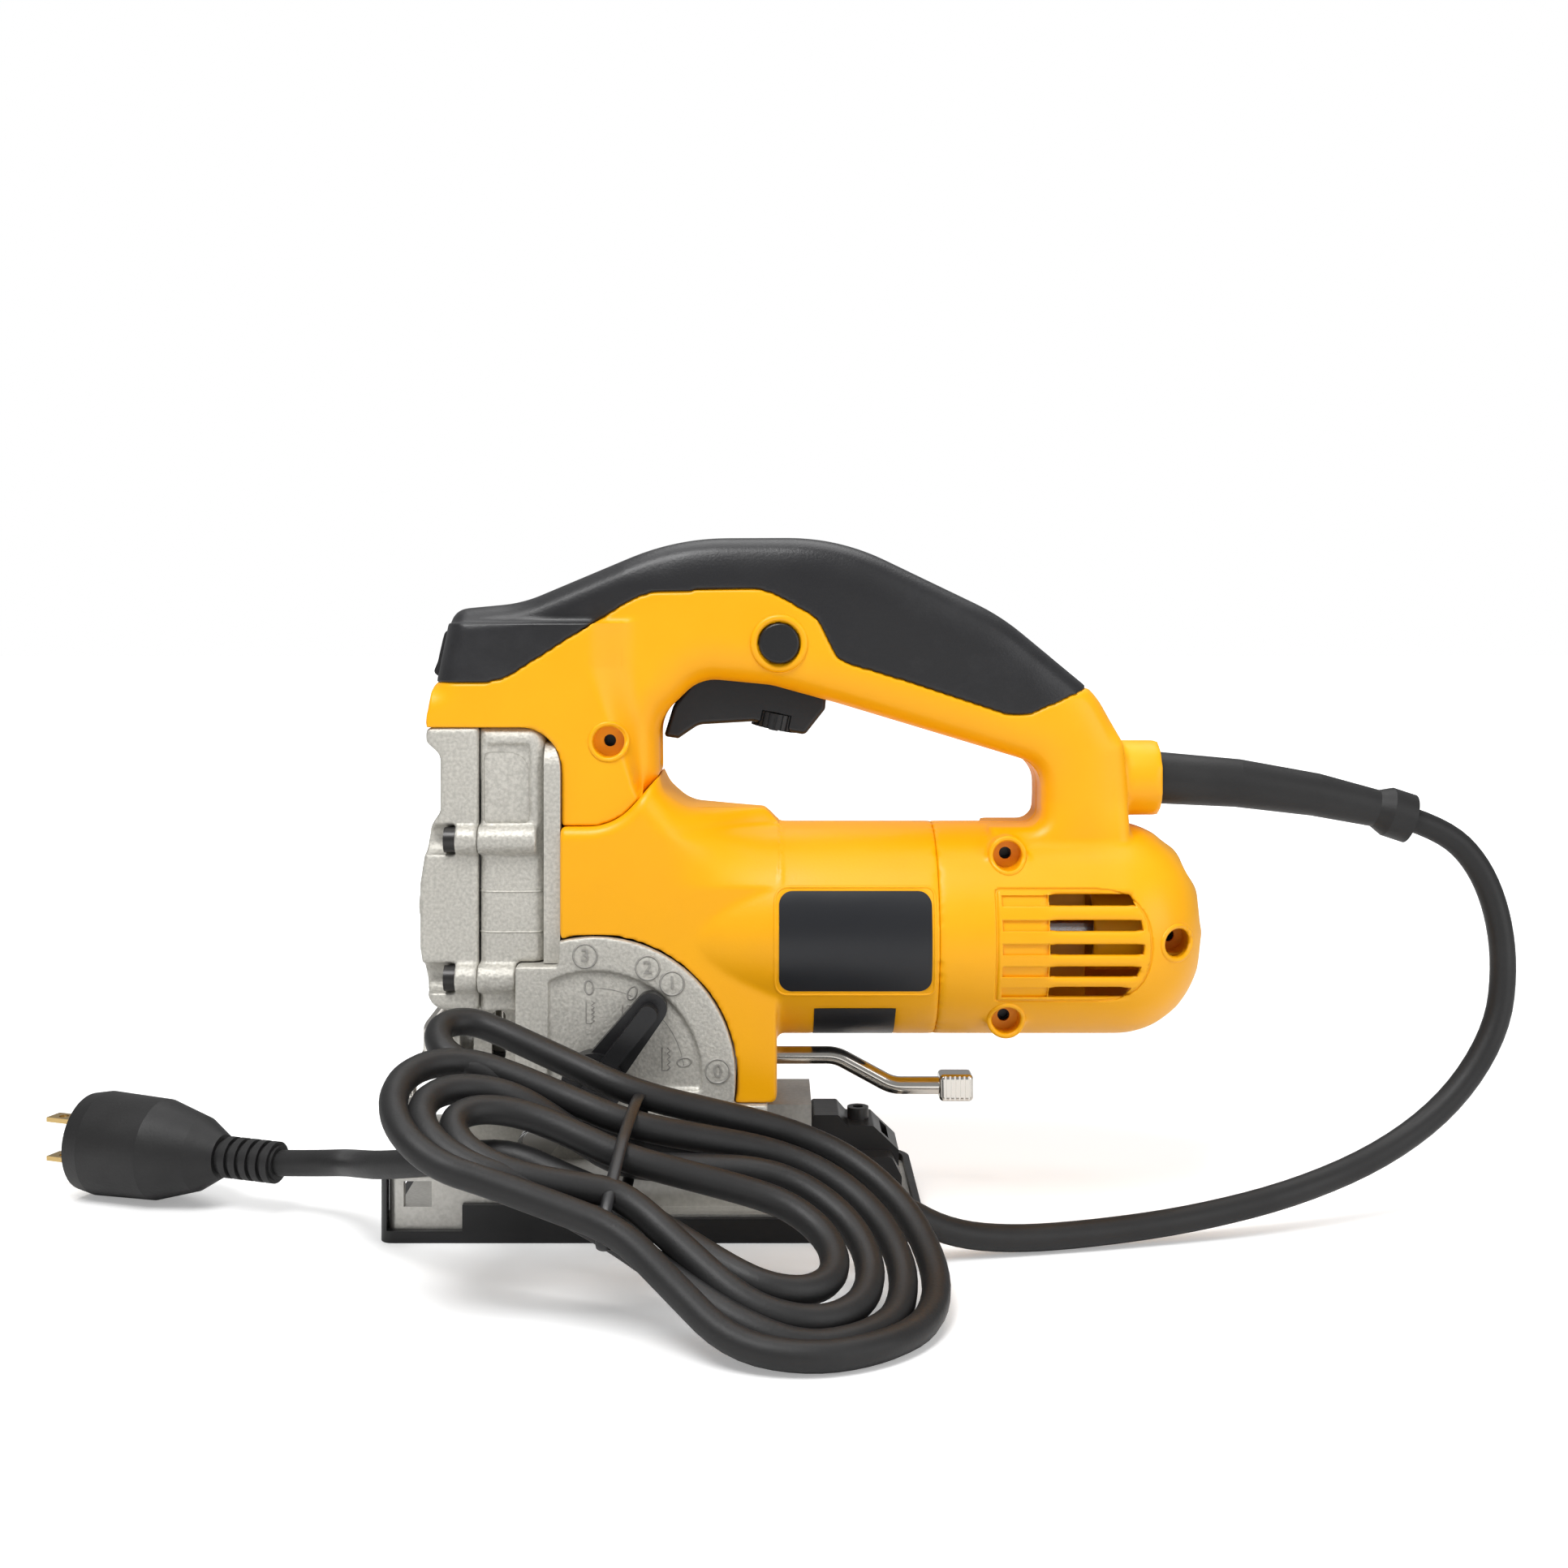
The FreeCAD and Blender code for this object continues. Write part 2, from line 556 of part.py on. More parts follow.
def quadrant_housing():
    """Cast pendulum housing: quarter-round body, numbered side plates and base flange."""
    low = FLANGE_Z[0]
    half = QUADRANT_HALF
    body = rod_y(QUADRANT_R, QUADRANT_X, QUADRANT_Z, (-half, half))
    body = body.common(box((CASE_FRONT_X, 60), (-half, half), (low, 120)))
    front = box((QUADRANT_FRONT_X, CASE_FRONT_X + 0.5), (-half, half), (low, GEAR_CASE_LOW - 0.3))
    flange = box((QUADRANT_FRONT_X, FLANGE_REAR_X), (-half, half), FLANGE_Z)
    body = body.fuse([front, flange]).common(box((-60, FLANGE_REAR_X), (-60, 60), (low, 95)))
    body = body.cut(box((CASE_FRONT_X, 60), (-60, 60), (FLANGE_Z[1], QUADRANT_Z)).cut(
        box((CASE_FRONT_X - 1, QUADRANT_X + QUADRANT_R), (-half, half), (FLANGE_Z[1] - 1, 60))))
    body = body.cut(rod_x(FAN_R + 2.0, (CASE_FRONT_X + 0.1, 60)))
    body = body.cut(rod_x(BEARING_R + WALL + GAP, (CASE_FRONT_X - 1, CASE_FRONT_X + 12)))
    body = body.cut(box((-32, 14), (-half + 5, half - 5), (43, 56)))
    body = body.cut(box((QUADRANT_FRONT_X - 1, -36.5), (-12, 12), (low - 1, 90)))
    body = body.cut(box((-37, -21.5), (-7, 7), (low - 1, 52)))
    body = body.cut(rod_z(BOLT_R + 0.1, BOLT_X, 0, (low - 1, 45))).cut(fork_pin())
    body = body.cut(rod_z(LEVER_BOSS_R + GAP, BOLT_X, 0, (LEVER_LEVEL - 5.5, LEVER_LEVEL + 5.5)))
    body = body.cut(rod_x(shoe_sweep_r() + GAP, (QUADRANT_FRONT_X - 1, ARCH_X[0] - 1), 0, BEVEL_Z))
    for side in (-1, 1):
        body = body.cut(quadrant_recess(side))
    body = body.cut(rod_y(5.0 + RUNNING, QUADRANT_X, QUADRANT_Z, (-half - 1, -20)))
    for angle in NUMERAL_ANGLES:
        x = QUADRANT_X + NUMERAL_R * math.cos(math.radians(angle))
        z = QUADRANT_Z + NUMERAL_R * math.sin(math.radians(angle))
        body = body.fuse(rod_y(3.6, x, z, (-half - 0.3, -half + 1)))
    return max(body.removeSplitter().Solids, key=lambda s: s.Volume)


def shoe_sweep_r():
    """Reach of the shoe's side walls from the axis on which the shoe tilts."""
    plate = math.hypot(SHOE_HALF - RIM_THICK, SHOE_WALL_TOP - BEVEL_Z)
    rim = math.hypot(SHOE_HALF, SIDE_RIM_TOP - BEVEL_Z)
    return max(plate, rim)


def quadrant_recess(side):
    """Quarter-round pocket in a side plate in which the lever sweeps."""
    face = side * QUADRANT_HALF
    span = sorted((face + side, face - side * 1.8))
    disc = rod_y(RECESS_R, QUADRANT_X, QUADRANT_Z, span)
    return disc.common(box((-32, 60), (-60, 60), (44, 90)))


def plunger_guard():
    """Open-bottomed channel round the blade clamp, with two slots in each side."""
    body = slab((-64, QUADRANT_FRONT_X - GAP), (44, COVER_LOW), 14.5, 0)
    body = body.cut(slab((-64 + 2.5, -30), (40, COVER_LOW + 1), 12, 0))
    for x in (-59.3, -49.3):
        slot = slab((x - 2.2, x + 2.2), (49, 65), 30, 2.19)
        body = body.cut(slot)
    return body


# --- housing: motor, bearings, electrics ----------------------------------------------------
def stator():
    """Laminated field with two poles, and its end windings."""
    outer_r = BARREL_R - WALL
    core = ring_x(outer_r, STATOR_BORE_R, CORE_X)
    for side in (-1, 1):
        core = core.cut(box((CORE_X[0] - 1, CORE_X[1] + 1), sorted((side * 14.0, side * 24.0)),
                            (MOTOR_Z - 9, MOTOR_Z + 9)))
    return core


def field_coils():
    """Copper coils in the two slots of the field."""
    coils = []
    for side in (-1, 1):
        span = sorted((side * (STATOR_BORE_R + 1.2), side * 23.9))
        coils.append(box((CORE_X[0] - 3, CORE_X[1] + 3), span, (MOTOR_Z - 8.9, MOTOR_Z + 8.9)))
    return group(coils)


def bearings():
    """Ball bearings that carry the motor shaft at its two ends, as plain rings."""
    bore = SHAFT_R + RUNNING
    rear = ring_x(BEARING_R, bore, (REAR_BEARING_X, REAR_BEARING_X + BEARING_LONG))
    front = ring_x(BEARING_R, bore, (CASE_FRONT_X + 1, CASE_FRONT_X + 1 + BEARING_LONG))
    return rear, front


def brush_holders():
    """Brass tubes that guide the brushes, in the pockets of the rear shells."""
    holders = []
    for side in (-1, 1):
        tube = box((BRUSH_X - 5.9, BRUSH_X + 5.9), sorted((side * 14.0, side * 29.0)), (83.1, 94.9))
        tube = tube.cut(box((BRUSH_X - 3.3, BRUSH_X + 3.3), sorted((side * 10.0, side * 28.0)),
                            (MOTOR_Z - 4, MOTOR_Z + 4)))
        holders.append(tube)
    return group(holders)


def brushes():
    """Carbon brushes, just clear of the commutator."""
    blocks = []
    for side in (-1, 1):
        span = sorted((side * (COMMUTATOR_R + 0.15), side * 27.0))
        blocks.append(box((BRUSH_X - 3.25, BRUSH_X + 3.25), span, (MOTOR_Z - 3.95, MOTOR_Z + 3.95)))
    return group(blocks)


def switch_body():
    """Switch module in the handle above the trigger, seated on the shell walls."""
    body = slab((2, 30), (180, 196), 10.5, 1.0)
    plunger = slab((12, 18), (176.5, 181), 3, 0)
    ears = box((8, 24), (-HANDLE_HALF + GRIP_DEPTH + WALL, HANDLE_HALF - GRIP_DEPTH - WALL), (186, 190))
    return body.fuse([plunger, ears])


def cord_clamp():
    """Bar across the leg that grips the cord behind the gland."""
    half = HANDLE_HALF - GRIP_DEPTH - WALL
    return box((129, 134), (-half, half), (126, 131))


def strain_relief():
    """Tapered rubber boot: flange inside the leg, neck in the gland, bell at the end."""
    stations = [(GLAND_X[1], 0, GLAND_Z, RELIEF_R), (185, 0, 134.6, 7.7), (210, 0, 130.9, 6.9),
                (229, 0, 126.6, 6.0), (233, 0, 125.5, 7.9), (RELIEF_END[0], 0, RELIEF_END[2], 7.9)]
    inside = rod_x(RELIEF_R, (GLAND_X[0] - 8, GLAND_X[1]), 0, GLAND_Z)
    parts = [inside]
    for (x0, _, z0, r0), (x1, _, z1, r1) in zip(stations, stations[1:]):
        wires = []
        for x, z, radius in ((x0, z0, r0), (x1, z1, r1)):
            circle = Part.Circle(V(x, 0, z), relief_normal(x), radius)
            wires.append(Part.Wire(circle.toShape()))
        parts.append(Part.makeLoft(wires, True, True))
    return fuse(parts)


def relief_normal(x):
    """Direction of the boot's axis, bending down towards its end."""
    sag = math.radians(3 + 14 * (x - GLAND_X[1]) / (RELIEF_END[0] - GLAND_X[1]))
    if x <= GLAND_X[1]:
        sag = 0
    return V(math.cos(sag), 0, -math.sin(sag))


def screws():
    """Four clamshell screws: head in its counterbore, shank into the far shell."""
    out = []
    for x, z, _, face in SHELL_SCREWS:
        seat = SCREW_SINK - face
        head = rod_y(SCREW_HEAD_R, x, z, (seat - 2.6, seat))
        socket = rod_y(1.6, x, z, (seat - 3, seat - 1.2))
        out.append(head.fuse(rod_y(SCREW_R, x, z, (seat, 12))).cut(socket))
    return group(out)


def gear_case_screws():
    """Four long screws with washers that hold cover and case to the bearing plate."""
    out = []
    for y, z in lug_rows():
        out.append(rod_x(3.9, (-64.5, -61), y, z).fuse(rod_x(SCREW_R, (-61, lug_rear(z) - 2), y, z)))
    return group(out)


def plunger_bushings():
    """Upper and lower sintered bushings of the plunger."""
    bore = rod_z(PLUNGER_R + RUNNING, PLUNGER_X, 0, (50, 160))
    spans = (UPPER_BUSHING_Z, lower_bushing_z())
    return group([rod_z(BUSHING_R, PLUNGER_X, 0, span).cut(bore) for span in spans])


def gear_axle():
    """Fixed pin on which the reduction gear turns."""
    return rod_x(SHAFT_R, (-42.0, CASE_FRONT_X), 0, gear_z())


def wire_sweep(points, radius):
    """Round wire along corners (point, bend radius)."""
    edges = []
    places = [V(*p) for p, _ in points]
    cursor = places[0]
    for i in range(1, len(places) - 1):
        start, middle, end = corner_arc(places[i - 1], places[i], places[i + 1], points[i][1])
        edges.append(Part.makeLine(cursor, start))
        edges.append(Part.Arc(start, middle, end).toShape())
        cursor = end
    edges.append(Part.makeLine(cursor, places[-1]))
    path = Part.Wire(edges)
    circle = Part.Circle(places[0], places[1] - places[0], radius)
    return path.makePipeShell([Part.Wire(circle.toShape())], True, False), path


def finger_guard():
    """Bent wire loop that hangs from the cover in front of the blade."""
    side = [((GUARD_TOP_X, 0, GUARD_TOP_Z), 0), ((GUARD_TOP_X, 0, 66), 3), ((-72, 0, 59), 4),
            ((-72, 0, 51), 5), ((-81, 0, 39), 5)]
    down = [((x, -GUARD_HALF, z), bend) for (x, _, z), bend in side]
    up = [((x, GUARD_HALF, z), bend) for (x, _, z), bend in reversed(side)]
    base = [((-81, -GUARD_HALF, 27), 5), ((-81, GUARD_HALF, 27), 5)]
    return wire_sweep(down + base + up, GUARD_WIRE_R)[0]


# --- moving parts ---------------------------------------------------------------------------
def armature_parts():
    """Shaft with its pinion, laminated core, commutator and fan."""
    pinion = gear_disc(PINION_TEETH, (GEAR_X[0], GEAR_X[1] + 1), MOTOR_Z, 90, 0.92)
    shaft = rod_x(SHAFT_R, (CASE_FRONT_X + 1, REAR_BEARING_X + BEARING_LONG))
    neck = rod_x(2.6, (GEAR_X[1], CASE_FRONT_X + 1))
    shaft = fuse([shaft, neck, pinion])
    core = ring_x(CORE_R, SHAFT_R, CORE_X)
    for i in range(12):
        slot = box((CORE_X[0] - 1, CORE_X[1] + 1), (-0.9, 0.9), (MOTOR_Z + 12, MOTOR_Z + CORE_R + 1))
        core = core.cut(turned(slot, (0, 0, MOTOR_Z), (1, 0, 0), 30 * i + 15))
    commutator = ring_x(COMMUTATOR_R, SHAFT_R, COMMUTATOR_X)
    fan = ring_x(8, SHAFT_R, FAN_X).fuse(ring_x(FAN_R, SHAFT_R, (FAN_X[1] - 2, FAN_X[1])))
    for i in range(12):
        blade = box((FAN_X[0], FAN_X[1] - 1), (-0.8, 0.8), (MOTOR_Z + 7, MOTOR_Z + FAN_R - 0.4))
        fan = fan.fuse(turned(blade, (0, 0, MOTOR_Z), (1, 0, 0), 30 * i))
    return shaft, core, commutator, fan.removeSplitter()


def drive_gear():
    """Reduction gear with its crank pin, which stops just short of the yoke."""
    half_step = 180.0 / GEAR_TEETH
    wheel = gear_disc(GEAR_TEETH, GEAR_X, gear_z(), -90 + half_step, 0.92)
    wheel = wheel.cut(rod_x(SHAFT_R + RUNNING, (GEAR_X[0] - 1, GEAR_X[1] + 1), 0, gear_z()))
    return wheel.fuse(rod_x(CRANK_PIN_R, (GEAR_X[0] - 1.4, GEAR_X[0]), CRANK_RADIUS, gear_z()))


def plunger():
    """Reciprocating rod that carries yoke and blade clamp."""
    return rod_z(PLUNGER_R, PLUNGER_X, 0, (BLADE_CLAMP_Z[1], PLUNGER_TOP))


def yoke():
    """Scotch yoke pressed on the plunger, its cross slot facing the crank pin."""
    rear = GEAR_X[0] - 1.9
    half = CRANK_RADIUS + CRANK_PIN_R + 2.5
    body = box((PLUNGER_X - 2, rear), (-half, half), (gear_z() - 6.5, gear_z() + 6.5))
    body = body.cut(box((rear - 1.6, rear + 1), (-half + 2, half - 2), (gear_z() - 3.6, gear_z() + 3.6)))
    return body.cut(rod_z(PLUNGER_R, PLUNGER_X, 0, (80, 140)))


def blade_clamp():
    """Blade socket at the foot of the plunger: a slotted cup."""
    cup = rod_z(BLADE_CLAMP_R, PLUNGER_X, 0, BLADE_CLAMP_Z)
    cup = cup.cut(box((PLUNGER_X - 4.2, PLUNGER_X + 4.2), (-0.9, 0.9), (30, 50)))
    return cup.cut(rod_z(2.2, PLUNGER_X, 0, (30, 49)))


def clamp_collar():
    """Sprung collar that turns on the blade socket to free the blade."""
    span = (BLADE_CLAMP_Z[0] + 2, BLADE_CLAMP_Z[1] - 3)
    collar = rod_z(COLLAR_R, PLUNGER_X, 0, span).cut(rod_z(BLADE_CLAMP_R + RUNNING, PLUNGER_X, 0, (30, 70)))
    ear = box((PLUNGER_X - 11, PLUNGER_X - 6.8), (-2, 2), (span[1] - 5, span[1]))
    return collar.fuse(ear)


def counterweight():
    """Balance plate that runs opposite to the plunger in the front cover."""
    body = slab((-61.5, -57), (100, 122), 17, 2)
    for side in (-1, 1):
        body = body.cut(rod_z(GUIDE_R + RUNNING, GUIDE_X, side * GUIDE_HALF, (90, 130)))
    return body


def counterweight_guides():
    """Two fixed pins on which the balance plate slides."""
    return group([rod_z(GUIDE_R, GUIDE_X, side * GUIDE_HALF, (80, 150)) for side in (-1, 1)])


def roller_fork():
    """Pendulum fork that pushes the guide roller against the blade's back."""
    corners = [(ROLLER_X - 2.5, ROLLER_Z - 3, 2), (ROLLER_X + 4, ROLLER_Z - 4.5, 2), (-24.5, 30, 3),
               (-24.5, 47.5, 3), (-31.5, 47.5, 3), (-31.5, 34, 4), (ROLLER_X - 2.5, ROLLER_Z + 4, 2)]
    fork = prism(corners, "xz", -5.5, 5.5)
    fork = fork.cut(slab((-50, -34.5), (0, 40), 3.2))
    fork = fork.cut(rod_y(FORK_PIN_R + RUNNING, *FORK_PIVOT, (-10, 10)))
    return fork.fuse(rod_y(1.5, ROLLER_X, ROLLER_Z, (-5.5, 5.5)))


def guide_roller():
    """Grooved roller behind the blade."""
    wheel = rod_y(ROLLER_R, ROLLER_X, ROLLER_Z, (-2.9, 2.9))
    wheel = wheel.cut(rod_y(1.5 + RUNNING, ROLLER_X, ROLLER_Z, (-5, 5)))
    groove = rod_y(6, ROLLER_X, ROLLER_Z, (-0.9, 0.9)).cut(rod_y(3.6, ROLLER_X, ROLLER_Z, (-1, 1)))
    return wheel.cut(groove)


def fork_pin():
    """Pivot pin of the fork, held in the pendulum housing."""
    return rod_y(FORK_PIN_R, *FORK_PIVOT, (-QUADRANT_HALF + 3, QUADRANT_HALF - 3))


def pendulum_lever():
    """Action selector: hub, tapered arm and raised spine, on a short shaft."""
    outer = -QUADRANT_HALF
    hub = rod_y(LEVER_HUB_R, QUADRANT_X, QUADRANT_Z, (outer - 7, outer - 0.5))
    arm = [(QUADRANT_X, QUADRANT_Z - 6.5, 0), (QUADRANT_X + LEVER_REACH, QUADRANT_Z - 4.6, 4.5),
           (QUADRANT_X + LEVER_REACH, QUADRANT_Z + 4.6, 4.5), (QUADRANT_X, QUADRANT_Z + 6.5, 0)]
    tail = [(QUADRANT_X - 15, QUADRANT_Z - 3.2, 3), (QUADRANT_X, QUADRANT_Z - 8, 0),
            (QUADRANT_X, QUADRANT_Z + 8, 0), (QUADRANT_X - 15, QUADRANT_Z + 3.2, 3)]
    spine = [(QUADRANT_X - 13, QUADRANT_Z - 2.2, 2), (QUADRANT_X + LEVER_REACH - 3, QUADRANT_Z - 2.8, 2.5),
             (QUADRANT_X + LEVER_REACH - 3, QUADRANT_Z + 2.8, 2.5), (QUADRANT_X - 13, QUADRANT_Z + 2.2, 2)]
    flat = prism(arm, "xz", outer - 5, outer - 0.5)
    back = prism(tail, "xz", outer - 5, outer - 0.5)
    ridge = prism(spine, "xz", outer - 10.5, outer - 3)
    shaft = rod_y(5.0, QUADRANT_X, QUADRANT_Z, (outer - 1, -QUADRANT_HALF + 9))
    lever = fuse([hub, flat, back, ridge, shaft])
    return turned(lever, (QUADRANT_X, 0, QUADRANT_Z), (0, 1, 0), -LEVER_ANGLE)


def trigger():
    """Finger trigger, hinged at its rear, with the slot of the speed dial."""
    corners = [(1.8, 149.9, 1), (4.9, 160, 8), (13, 170.5, 4), (46, 173, 4), (54, 170, 3), (53, 158.5, 2),
               (46.6, 150.4, 2), (41.9, 151.2, 1), (30.3, 154.6, 4), (12.9, 153.6, 6), (6.4, 149.2, 1)]
    body = prism(corners, "xz", -TRIGGER_HALF, TRIGGER_HALF)
    body = soften(body, 1.5, lambda p: abs(abs(p.y) - TRIGGER_HALF) < 0.01 and p.z < 160)
    body = body.cut(dial_cylinder(DIAL_R + GAP, DIAL_THICK + 2 * GAP))
    body = body.fuse(dial_cylinder(1.5, DIAL_THICK + 2 * GAP + 0.4))
    return body.cut(rod_y(2.0 + RUNNING, *TRIGGER_PIVOT, (-20, 20)))


def trigger_pin():
    """Pin of the trigger, held in both shells."""
    half = HANDLE_HALF - GRIP_DEPTH - WALL
    return rod_y(2.0, *TRIGGER_PIVOT, (-half, half))


def dial_cylinder(radius, thick):
    """Disc about the dial's tilted axis."""
    x, z = DIAL_CENTRE
    disc = rod_z(radius, x, 0, (z - thick / 2, z + thick / 2))
    return turned(disc, (x, 0, z), (0, 1, 0), DIAL_TILT)


def speed_dial():
    """Knurled thumbwheel for the stroke rate."""
    wheel = dial_cylinder(DIAL_R, DIAL_THICK)
    x, z = DIAL_CENTRE
    for i in range(24):
        notch = box((x + DIAL_R - 0.5, x + DIAL_R + 1), (-0.45, 0.45), (z - 4, z + 4))
        notch = turned(notch, (x, 0, z), (0, 0, 1), 15 * i)
        wheel = wheel.cut(turned(notch, (x, 0, z), (0, 1, 0), DIAL_TILT))
    return wheel.cut(dial_cylinder(1.5 + RUNNING, DIAL_THICK + 1))


def lock_button():
    """Lock-on button, guided by its bore in the shell."""
    button = rod_y(BUTTON_R, *BUTTON_PLACE, (-HANDLE_HALF - 1.2, -9.5))
    return soften(button, 0.8, lambda p: p.y < -HANDLE_HALF - 1)


def release_lever():
    """Blade release lever on the front of the head, hinged at its top."""
    corners = [(-66.2, 183.8, 2), (-61.9, 183.8, 1), (-65.0, 168.0, 0), (-66.6, 168.0, 1),
               (-70.0, 170.5, 1.4), (-68.6, 174, 1), (-67.0, 181, 1)]
    plate = prism(corners, "xz", -12.9, 12.9)
    return plate.cut(rod_y(RELEASE_PIN_R + RUNNING, *RELEASE_PIVOT, (-20, 20)))


def release_pin():
    """Hinge pin of the release lever, held at both ends in the head."""
    return rod_y(RELEASE_PIN_R, *RELEASE_PIVOT, (-16, 16))


def bevel_lever():
    """Chromed clamp lever: hub on the bolt, cranked rod and flattened knurled tip."""
    path = [((BOLT_X, 0, LEVER_LEVEL), 0), ((56.6, 0, LEVER_LEVEL), 12), ((74.5, 0, 37.9), 12),
            ((92, 0, 37.9), 0)]
    bar = wire_sweep(path, 2.8)[0]
    hub = rod_z(LEVER_BOSS_R, BOLT_X, 0, (43, 52))
    tip = box((89.3, 100.2), (-4.5, 4.5), (33.6, 42.2))
    tip = soften(tip, 1.5, lambda p: True)
    for i in range(6):
        tip = tip.cut(box((91.0 + 1.5 * i, 91.6 + 1.5 * i), (-5, -4.1), (33, 43)))
    body = fuse([hub, bar, tip])
    return body.cut(rod_z(BOLT_R + RUNNING, BOLT_X, 0, (30, 60)))


def clamp_bolt():
    """Bolt through flange, saddle and arch, with its curved nut under the arch."""
    low = BEVEL_Z + ARCH_R - ARCH_WALL
    bolt = rod_z(BOLT_R, BOLT_X, 0, (low - 6, 54)).fuse(rod_z(4.4, BOLT_X, 0, (52.2, 55.5)))
    nut = rod_x(ARCH_R - ARCH_WALL - 0.3, (BOLT_X - 5, BOLT_X + 5), 0, BEVEL_Z)
    nut = nut.common(box((BOLT_X - 5, BOLT_X + 5), (-5, 5), (low - 4.5, low)))
    return bolt.fuse(nut)


def saddle():
    """Steel saddle between the base flange and the shoe's arch, slotted for the bolt."""
    body = slab((ARCH_X[0], ARCH_X[1] + 0.4), (SADDLE_LOW, FLANGE_Z[0] - RUNNING), SADDLE_HALF)
    body = body.cut(rod_x(ARCH_R + 0.3, (-40, 80), 0, BEVEL_Z))
    slot = box((BOLT_X - SHOE_SLIDE - 3.4, BOLT_X + 3.4), (-3.4, 3.4), (10, 50))
    return body.cut(slot)


# --- shoe -----------------------------------------------------------------------------------
def shoe_rear_x():
    """Rear edge of the shoe."""
    return SHOE_FRONT_X + SHOE_LENGTH


def shoe_plate():
    """Cast aluminium shoe: floor, side walls with fence slots, and the bevel arch."""
    low = SOLE_THICK
    top = low + SHOE_PLATE_THICK
    front = SHOE_FRONT_X + RIM_THICK
    rear = shoe_rear_x() - RIM_THICK
    half = SHOE_HALF - RIM_THICK
    corners = [(front, -half, 3), (rear, -half, 8), (rear, half, 8), (front, half, 3)]
    body = prism(corners, "xy", low, top)
    profile = [(front, low, 0), (rear, low, 0), (rear, top + 3, 2), (-24, top + 3, 8),
               (-32, SHOE_WALL_TOP, 8), (front, SHOE_WALL_TOP, 1)]
    for side in (-1, 1):
        body = body.fuse(prism(profile, "xz", *sorted((side * half, side * (half - 3.2)))))
        corner_span = sorted((side * half, side * FRONT_GAP_HALF))
        body = body.fuse(box((front, front + 3), corner_span, (low, SHOE_WALL_TOP)))
    arch = rod_x(ARCH_R, ARCH_X, 0, BEVEL_Z).cut(rod_x(ARCH_R - ARCH_WALL, (-60, 90), 0, BEVEL_Z))
    legs = box(ARCH_X, (-ARCH_R, ARCH_R), (low, BEVEL_Z)).cut(
        box((-60, 90), (-ARCH_R + ARCH_WALL, ARCH_R - ARCH_WALL), (0, BEVEL_Z + 1)))
    arch = arch.common(box((-60, 90), (-40, 40), (BEVEL_Z, 60))).fuse(legs)
    body = body.fuse(arch).common(prism(corners, "xy", 0, 40)).cut(arch_slot())
    body = body.cut(blade_slot(1.5)).cut(fence_slot())
    return body.removeSplitter()


def arch_slot():
    """Curved slot in the arch that lets it tilt and slide round the bolt."""
    span = (BOLT_X - SHOE_SLIDE - 3.6, BOLT_X + 3.6)
    wedge = Part.makeCylinder(ARCH_R + 5, span[1] - span[0], V(span[0], 0, BEVEL_Z), V(1, 0, 0), 120)
    wedge.rotate(V(0, 0, BEVEL_Z), V(1, 0, 0), -60)
    centre = wedge.CenterOfMass
    angle = math.degrees(math.atan2(centre.z - BEVEL_Z, centre.y))
    wedge.rotate(V(0, 0, BEVEL_Z), V(1, 0, 0), 90 - angle)
    return wedge.cut(rod_x(ARCH_R - ARCH_WALL - 3, (0, 90), 0, BEVEL_Z))


def blade_slot(extra):
    """Opening of the shoe round the blade, closed in front and rear."""
    half = 7.0 + extra
    corners = [(-64 - extra, -half, 2), (-24, -half, 2), (-24, half, 2), (-64 - extra, half, 2)]
    return prism(corners, "xy", -1, 12)


def fence_slot():
    """Slot across the shoe's walls that takes a rip fence bar."""
    return box((-75, -66.5), (-60, 60), (10.3, 18))


def shoe_cover():
    """Black sole with a raised rim that wraps the shoe."""
    front, rear, half = SHOE_FRONT_X, shoe_rear_x(), SHOE_HALF
    corners = [(front, -half, 4), (rear, -half, 10), (rear, half, 10), (front, half, 4)]
    body = prism(corners, "xy", 0, FRONT_WALL_TOP)
    rim = RIM_THICK - RUNNING
    inner = [(front + rim, -half + rim, 2.9), (rear - rim, -half + rim, 7.9), (rear - rim, half - rim, 7.9),
             (front + rim, half - rim, 2.9)]
    body = body.cut(prism(inner, "xy", SOLE_THICK, 40))
    body = body.cut(box((front + RIM_THICK, rear - 12), (-60, 60), (SIDE_RIM_TOP, 40)))
    body = body.cut(box((rear - 12.1, rear + 1), (-60, 60), (9, 40)))
    body = body.cut(box((-30, rear + 1), (-60, 60), (7.2, 40)))
    body = body.cut(box((front + RIM_THICK, -57), (-60, 60), (3.6, 40)))
    body = body.cut(box((front - 1, front + 4), (-FRONT_GAP_HALF, FRONT_GAP_HALF), (5, 40)))
    return body.cut(blade_slot(0)).removeSplitter()


def splinter_insert():
    """Replaceable insert in the blade opening, with the narrow kerf slot."""
    corners = [(-63.7, -8.2, 2), (-40, -8.2, 2), (-40, 8.2, 2), (-63.7, 8.2, 2)]
    upper = prism(corners, "xy", SOLE_THICK, SOLE_THICK + 2.6)
    neck = [(-63.6, -6.7, 1.6), (-40, -6.7, 1.6), (-40, 6.7, 1.6), (-63.6, 6.7, 1.6)]
    lower = prism(neck, "xy", 0.5, SOLE_THICK)
    return upper.fuse(lower).cut(box((-58, -30), (-1.2, 1.2), (-1, 10)))


